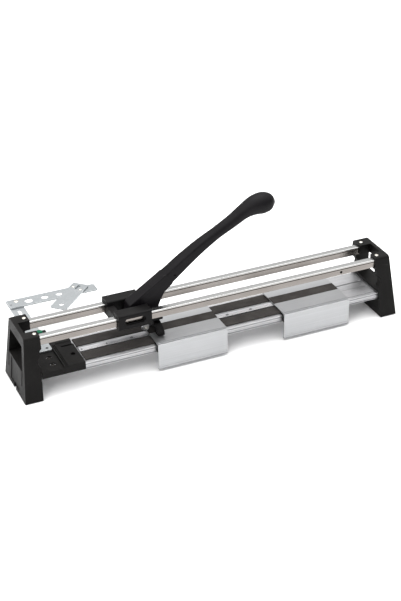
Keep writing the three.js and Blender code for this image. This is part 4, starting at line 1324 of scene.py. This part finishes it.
    def clamp(self) -> None:
        """Make the lobed knob and its screw."""
        knob = Extent.of("fence_clamp_knob")
        centre = knob.middle
        radius = knob.size.x / 2
        swell = 0.7 * MM
        outline = []
        for i in range(96):
            angle = math.tau * i / 96
            reach = radius - swell + swell * math.cos(angle * self.lobes)
            outline.append((centre.x + reach * math.cos(angle), centre.y + reach * math.sin(angle)))
        solid = Solid.bar(Axis.Z, outline, knob.low.z, knob.high.z, bevel=0.8 * MM, rounds=4)
        dish = Solid.turned(Axis.Z, Vector((centre.x, centre.y, knob.high.z)),
                            [(0, -0.9 * MM), (2.4 * MM, -0.8 * MM), (3.1 * MM, 0.2 * MM), (0, 0.2 * MM)], 40)
        hand_over("fence_clamp_knob", "green", solid.cut(dish), GREEN_PLASTIC)
        screw = Solid.from_node("fence_clamp_screw").soften(0.3 * MM, 2, 60.0)
        hand_over("fence_clamp_screw", "zinc", screw, SCREW_ZINC)

    def build(self) -> None:
        """Make the whole fence."""
        self.guide_plate()
        self.carrier()
        self.arm()
        self.corner_plate()
        self.rivets()
        self.clamp()


# ---- Carriage ---------------------------------------------------------------------------------------


@dataclass
class Carriage:
    """The moulded carriage, its slide bushes and the lever's pin."""

    edge: float = 1.3 * MM
    flare: float = 1.6 * MM
    flare_depth: float = 2.2 * MM
    window_margin: float = 14 * MM
    window_half: float = 5.5 * MM
    window_height: float = 0.62

    def flares(self, extent: Extent) -> list[Solid]:
        """Return the tools that widen the two side windows where they meet the outer faces.

        Args:
            extent: The carriage's box.

        Returns:
            The tools.
        """
        rail = Extent.of("front_rail")
        z = rail.low.z + rail.size.z * self.window_height
        reach = self.window_half + self.flare
        margin = self.window_margin - self.flare
        outline = round_rect((extent.low.x + margin, z - reach), (extent.high.x - margin, z + reach),
                             reach * 0.98, 10)
        return [
            Solid.bar(Axis.Y, outline, extent.low.y - MM, extent.low.y + self.flare_depth),
            Solid.bar(Axis.Y, outline, extent.high.y - self.flare_depth, extent.high.y + MM),
        ]

    def build(self) -> None:
        """Make the carriage and what stays with it."""
        node = "carriage_body"
        solid = Solid.from_node(node).cut(*self.flares(Extent.of(node))).soften(self.edge, 3)
        hand_over(node, "moulding", solid, CARRIAGE_PLASTIC)
        for end in ("front", "rear"):
            for side in Side:
                node = f"slide_bush_{end}_{side.word}"
                bush = Solid.from_node(node).soften(0.4 * MM, 2)
                hand_over(node, "slide", bush, BUSH_PLASTIC)
        self.pin("lever_pivot_pin")

    @staticmethod
    def pin(node: str) -> None:
        """Make a turned pin along Y with chamfered ends and a centre dimple."""
        extent = Extent.of(node)
        radius, length = extent.size.x / 2, extent.size.y
        centre = extent.middle.copy()
        centre.y = extent.low.y
        ease = radius * 0.22
        profile = [(0, ease), (radius * 0.25, ease * 0.4), (radius * 0.3, 0), (radius - ease, 0),
                   (radius, ease), (radius, length - ease), (radius - ease, length), (radius * 0.3, length),
                   (radius * 0.25, length - ease * 0.4), (0, length - ease)]
        solid = Solid.turned(Axis.Y, centre, profile, 36)
        hand_over(node, "turned", solid, SCREW_ZINC)


# ---- Lever, wheel and breaker -----------------------------------------------------------------------


@dataclass(frozen=True)
class Station:
    """One section of the lever's shank, from the pivot, in millimetres."""

    x: float
    z: float
    high: float
    wide: float
    square: float


SHANK = (
    Station(46, 36, 13.2, 13.5, 1.0),
    Station(78, 57.4, 12.6, 13.5, 0.95),
    Station(112, 82.8, 11.6, 13.2, 0.7),
    Station(146, 105.9, 11.2, 12.3, 0.3),
    Station(180, 125.5, 11.7, 11.9, 0),
    Station(212, 142.8, 12.8, 12.7, 0),
    Station(236, 157.3, 14.6, 14.6, 0),
    Station(256, 165.5, 18.7, 18.4, 0),
    Station(274, 167.6, 20.8, 20.4, 0),
    Station(290, 166.5, 16.6, 16.4, 0),
    Station(299.5, 165, 5.5, 5.5, 0),
)


def catmull(values: Sequence[float], place: float) -> float:
    """Return the smooth curve through evenly spaced values.

    Args:
        values: The values that it passes through.
        place: Where to read it, from 0 to 1.

    Returns:
        The value there.
    """
    last = len(values) - 1
    at = min(max(place, 0.0), 1.0) * last
    i = min(int(at), last - 1)
    t = at - i
    p1, p2 = values[i], values[i + 1]
    p0 = values[i - 1] if i > 0 else 2 * p1 - p2
    p3 = values[i + 2] if i + 2 <= last else 2 * p2 - p1
    return 0.5 * (2 * p1 + (p2 - p0) * t + (2 * p0 - 5 * p1 + 4 * p2 - p3) * t * t
                  + (3 * p1 - p0 - 3 * p2 + p3) * t ** 3)


@dataclass
class Lever:
    """The one-piece moulded lever: a forked root, a squared shank and a ball grip."""

    rings: int = 90
    around: int = 56
    edge: float = 0.9 * MM
    voxel: float = 0.8 * MM
    fork: float = 6 * MM
    fork_reach: Point = (16 * MM, 66 * MM)
    side_hole: Corner = (88 * MM, 62 * MM, 1.8 * MM)

    def pivot(self) -> Vector:
        """Return the middle of the pivot pin."""
        return Extent.of("lever_pivot_pin").middle

    def shank(self, pivot: Vector) -> Solid:
        """Return the shank and the ball, lofted through their stations."""
        fields = {key: [getattr(s, key) for s in SHANK] for key in ("x", "z", "high", "wide", "square")}
        rings = []
        for i in range(self.rings + 1):
            t = i / self.rings
            read = {key: catmull(values, t) for key, values in fields.items()}
            dx = catmull(fields["x"], t + 0.01) - catmull(fields["x"], t - 0.01)
            dz = catmull(fields["z"], t + 0.01) - catmull(fields["z"], t - 0.01)
            length = math.hypot(dx, dz)
            dx, dz = dx / length, dz / length
            power = 2 + 5 * max(read["square"], 0.0)
            ring = []
            for j in range(self.around):
                angle = math.tau * j / self.around
                a, b = math.cos(angle), math.sin(angle)
                reach = (abs(a) ** power + abs(b) ** power) ** (-1 / power)
                across, rise = a * reach * read["wide"], b * reach * read["high"]
                place = Vector((read["x"] - dz * rise, across, read["z"] + dx * rise)) * MM
                ring.append(pivot + place)
            rings.append(ring)
        return Solid.loft(rings)

    def root(self, pivot: Vector) -> Solid:
        """Return the broad root, from the pivot's boss to where the shank takes over."""
        corners = [
            *in_mm((pivot.x, pivot.z), (-9, -5, 4), (-5, -10, 3), (36, -10, 1.5)),
            *in_mm((pivot.x, Extent.of("lever").low.z), (36, 0, 2), (62, 0, 2)),
            *in_mm((pivot.x, pivot.z), (53, 6, 12), (66, 31, 22), (84, 46, 2), (69, 66.5, 2), (60, 60, 12)),
            *in_mm((pivot.x, pivot.z), (-5, 18, 6)),
        ]
        outline = eased(corners, 8)
        half = Extent.of("wheel_holder_bolt").size.y / 2 + 0.5 * MM
        return Solid.bar(Axis.Y, outline, pivot.y - half, pivot.y + half, bevel=self.edge, rounds=3)

    def bores(self, pivot: Vector) -> list[Solid]:
        """Return the tools for the fork, the pins' bores and the small side hole."""
        lever = Extent.of("lever")
        breaker = Extent.of("breaker_pin")
        holder = Extent.of("wheel_holder")
        low, high = lever.low.y - MM, lever.high.y + MM
        far = pivot.x + self.fork_reach[1]
        tools = [box_tool((pivot.x + self.fork_reach[0], pivot.y - self.fork, lever.low.z - MM),
                          (far, pivot.y + self.fork, breaker.middle.z + 9 * MM)),
                 box_tool((pivot.x + 10 * MM, holder.low.y - 0.3 * MM, lever.low.z - MM),
                          (holder.high.x + 4 * MM, holder.high.y + 0.3 * MM, pivot.z + 0.3 * MM))]
        for node in ("lever_pivot_pin", "wheel_holder_bolt", "breaker_pin"):
            extent = Extent.of(node)
            place = (extent.middle.x, extent.middle.z)
            tools.append(rod_tool(Axis.Y, place, extent.size.x / 2 + 0.3 * MM, low, high))
        x, z, radius = self.side_hole
        middle = pivot.y
        tools.append(rod_tool(Axis.Y, (pivot.x + x, pivot.z + z), radius, middle - 20 * MM, middle - 8 * MM))
        return tools

    def build(self) -> None:
        """Make the lever."""
        pivot = self.pivot()
        body = self.root(pivot).join(self.shank(pivot)).blended(self.voxel, 2)
        solid = body.cut(*self.bores(pivot))
        hand_over("lever", "moulding", solid, LEVER_PLASTIC, smooth=50.0)


@dataclass
class CuttingHead:
    """The wheel in its holder, and the breaker foot, with their pins."""

    bevel: float = 1.4 * MM

    def wheel(self) -> None:
        """Make the cutting wheel: a ground disc with a sharp rim and a turned hub."""
        extent = Extent.of("cutting_wheel")
        radius, half = extent.size.x / 2, extent.size.y / 2
        bore = Extent.of("wheel_axle").size.x / 2 + 0.3 * MM
        profile = [(bore, -half), (bore + 1.2 * MM, -half), (bore + 1.4 * MM, -half + 0.25 * MM),
                   (radius - self.bevel - 0.2 * MM, -half + 0.25 * MM), (radius - self.bevel, -half * 0.7),
                   (radius, 0), (radius - self.bevel, half * 0.7),
                   (radius - self.bevel - 0.2 * MM, half - 0.25 * MM),
                   (bore + 1.4 * MM, half - 0.25 * MM), (bore + 1.2 * MM, half), (bore, half)]
        steps = 64
        bm = bmesh.new()
        rows = []
        for i in range(steps):
            angle = math.tau * i / steps
            spot = [extent.middle + Axis.Y.place(r * math.cos(angle), r * math.sin(angle), h)
                    for r, h in profile]
            rows.append([bm.verts.new(p) for p in spot])
        for i in range(steps):
            here, there = rows[i], rows[(i + 1) % steps]
            for k in range(len(profile)):
                m = (k + 1) % len(profile)
                bm.faces.new((here[k], here[m], there[m], there[k]))
        hand_over("cutting_wheel", "ground", Solid.from_bmesh(bm), CARBIDE)

    @staticmethod
    def flutes() -> list[Solid]:
        """Return the tools that flute the breaker's front and rear faces."""
        extent = Extent.of("breaker_foot")
        low, high = extent.low, extent.high
        pitch = extent.size.x / 4
        tools = []
        for i in (1, 2, 3):
            x = low.x + pitch * i
            for face in (low.y, high.y):
                tools.append(box_tool((x - 0.7 * MM, face - 1.2 * MM, low.z + 5 * MM),
                                      (x + 0.7 * MM, face + 1.2 * MM, high.z + MM)))
        return tools

    def build(self) -> None:
        """Make the head's pieces."""
        self.wheel()
        holder = Solid.from_node("wheel_holder").soften(0.5 * MM, 2)
        hand_over("wheel_holder", "ground", holder, HOLDER_STEEL)
        breaker = Solid.from_node("breaker_foot").cut(*self.flutes()).soften(0.5 * MM, 2)
        hand_over("breaker_foot", "moulding", breaker, CARRIAGE_PLASTIC)
        for node in ("wheel_holder_bolt", "wheel_axle", "breaker_pin"):
            Carriage.pin(node)


# ---- Wings ------------------------------------------------------------------------------------------


@dataclass
class Wings:
    """The two support wings: aluminium angles with rubber strips, on shoes that run in the base."""

    strip_rib: float = 2.1 * MM

    def angle(self, extent: Extent, strip: Extent) -> list[Point]:
        """Return the outline of the wing: plate, beaded fold, and apron with a turned-in foot.

        Args:
            extent: The wing's box.
            strip: The box of its rubber strip.

        Returns:
            The outline in Y and Z.
        """
        front, foot, top = extent.low.y, extent.low.z, extent.high.z
        corners = [
            *in_mm((front, foot), (0, 0, 0.8), (5.5, 0, 0.4), (5.5, 1.6, 0.4), (2.7, 1.6, 0.4)),
            *in_mm((front, top), (2.7, -3.7, 1), (7, -2.5, 1)),
            *in_mm((extent.high.y, top), (0, -2.5, 0.4), (0, 0, 0.5)),
            *in_mm((strip.high.y, top), (0.3, 0, 0.15), (0.3, -0.8, 0)),
            *in_mm((strip.low.y, top), (-0.3, -0.8, 0), (-0.3, 0, 0.15)),
            *in_mm((front, top), (8.6, 0, 0.4), (8.4, -2.3, 0.2), (7, -2.3, 0.2), (6.8, 0, 0.8)),
            *in_mm((front, top), (4.4, 0, 0.8), (4.2, -2.3, 0.2), (2.8, -2.3, 0.2), (2.6, -0.4, 0.7)),
            *in_mm((front, top), (0, -0.4, 1.2), (0, -3.4, 0.8), (1.1, -3.6, 0.2)),
            *in_mm((front, foot), (1.1, 5.6, 0.2), (0, 5.4, 0.8), (0, 2.8, 0.8), (1.1, 2.6, 0)),
            *in_mm((front, foot), (1.1, 1.4, 0), (0, 1.2, 0.2)),
        ]
        return eased(corners, 4)

    def build(self) -> None:
        """Make both wings."""
        for side in Side:
            word = side.word
            wing, strip = Extent.of(f"{word}_wing"), Extent.of(f"{word}_wing_strip")
            solid = Solid.bar(Axis.X, self.angle(wing, strip), wing.low.x, wing.high.x)
            hand_over(f"{word}_wing", "angle", solid, WING_METAL)
            outline = ribbed(strip, self.strip_rib, (0.3 * MM, 0.25 * MM), 0.3 * MM, 3)
            solid = Solid.bar(Axis.X, outline, strip.low.x, strip.high.x)
            hand_over(f"{word}_wing_strip", "ribbed", solid, PAD_RUBBER)
            shoe = Solid.from_node(f"{word}_wing_shoe").soften(0.35 * MM, 2)
            hand_over(f"{word}_wing_shoe", "moulding", shoe, CARRIAGE_PLASTIC)


# ---- Studio -----------------------------------------------------------------------------------------


@dataclass
class Studio:
    """The camera, the soft lights and the paper floor."""

    azimuth: float = -23.28
    elevation: float = 29.53
    roll: float = -1.04
    distance: float = 2.659
    lens: float = 82.86
    horizon: float = 0.1
    wall: float = 0.8
    ceiling: float = 2.9
    aim: Vector = field(default_factory=lambda: Vector((-0.0111, -0.0830, 0.0960)))

    def camera(self) -> None:
        """Set the camera at its angle to the object."""
        a, e, r = (math.radians(v) for v in (self.azimuth, self.elevation, self.roll))
        back = Vector((math.sin(a) * math.cos(e), -math.cos(a) * math.cos(e), math.sin(e)))
        level = Vector((math.cos(a), math.sin(a), 0))
        upright = back.cross(level)
        right = math.cos(r) * level + math.sin(r) * upright
        up = -math.sin(r) * level + math.cos(r) * upright
        data = bpy.data.cameras.new("camera")
        data.lens = self.lens
        data.sensor_width = 36
        camera = bpy.data.objects.new("camera", data)
        bpy.context.scene.collection.objects.link(camera)
        turn = Matrix((right, up, back)).transposed().to_4x4()
        camera.matrix_world = Matrix.Translation(self.aim + back * self.distance) @ turn
        bpy.context.scene.camera = camera

    def lamp(self, name: str, place: Vector, size: float, power: float) -> None:
        """Hang one soft lamp that looks at the object.

        Args:
            name: The lamp's name.
            place: Where it hangs.
            size: Its width and height.
            power: Its power in watts.
        """
        data = bpy.data.lights.new(name, "AREA")
        data.energy = power
        data.size = size
        lamp = bpy.data.objects.new(name, data)
        bpy.context.scene.collection.objects.link(lamp)
        lamp.location = place
        lamp.rotation_euler = (self.aim - place).to_track_quat("-Z", "Y").to_euler()

    def room(self) -> None:
        """Light the room: bright overhead, dark at the horizon, so that metal has something to show."""
        world = bpy.data.worlds.new("studio")
        bpy.context.scene.world = world
        world.use_nodes = True
        graph = Graph(world.node_tree)
        background = world.node_tree.nodes["Background"]
        direction = graph.add("ShaderNodeTexCoord").outputs["Generated"]
        height = graph.add("ShaderNodeSeparateXYZ", {0: direction}).outputs["Z"]
        background.inputs["Color"].default_value = (1.0, 1.0, 1.0, 1.0)
        wall = graph.span(height, 0.02, 0.3, self.horizon, self.wall)
        ceiling = graph.span(height, 0.5, 0.92, 0.0, self.ceiling - self.wall)
        graph.feed(background.inputs["Strength"], graph.plus(wall, ceiling))

    def floor(self) -> None:
        """Lay the paper."""
        size = 9.0
        bm = bmesh.new()
        corners = [(-size, -size), (size, -size), (size, size), (-size, size)]
        bm.faces.new([bm.verts.new((x, y, -0.0003)) for x, y in corners])
        mesh = bpy.data.meshes.new("paper")
        bm.to_mesh(mesh)
        bm.free()
        mesh.materials.append(PAPER.material())
        paper = bpy.data.objects.new("paper", mesh)
        bpy.context.scene.collection.objects.link(paper)

    def build(self) -> None:
        """Make the studio."""
        self.camera()
        self.room()
        self.floor()
        self.lamp("overhead", Vector((0.2, 0.2, 2.6)), 1.2, 14)
        self.lamp("key", Vector((-1.9, -1.6, 1.9)), 0.8, 16)
        view = bpy.context.scene.view_settings
        view.view_transform = "Standard"
        view.look = "None"


def main() -> None:
    """Build the studio and the cutter, one sub-assembly after another."""
    logging.basicConfig(level=logging.INFO, format="%(name)s: %(message)s")
    Studio().build()
    for assembly in (EndBlocks(), Rails(), Base(), Fence(), Carriage(), Lever(), CuttingHead(), Wings(),
                     CrossScrews()):
        LOG.info("building %s", type(assembly).__name__)
        assembly.build()


if __name__ == "__main__":
    main()
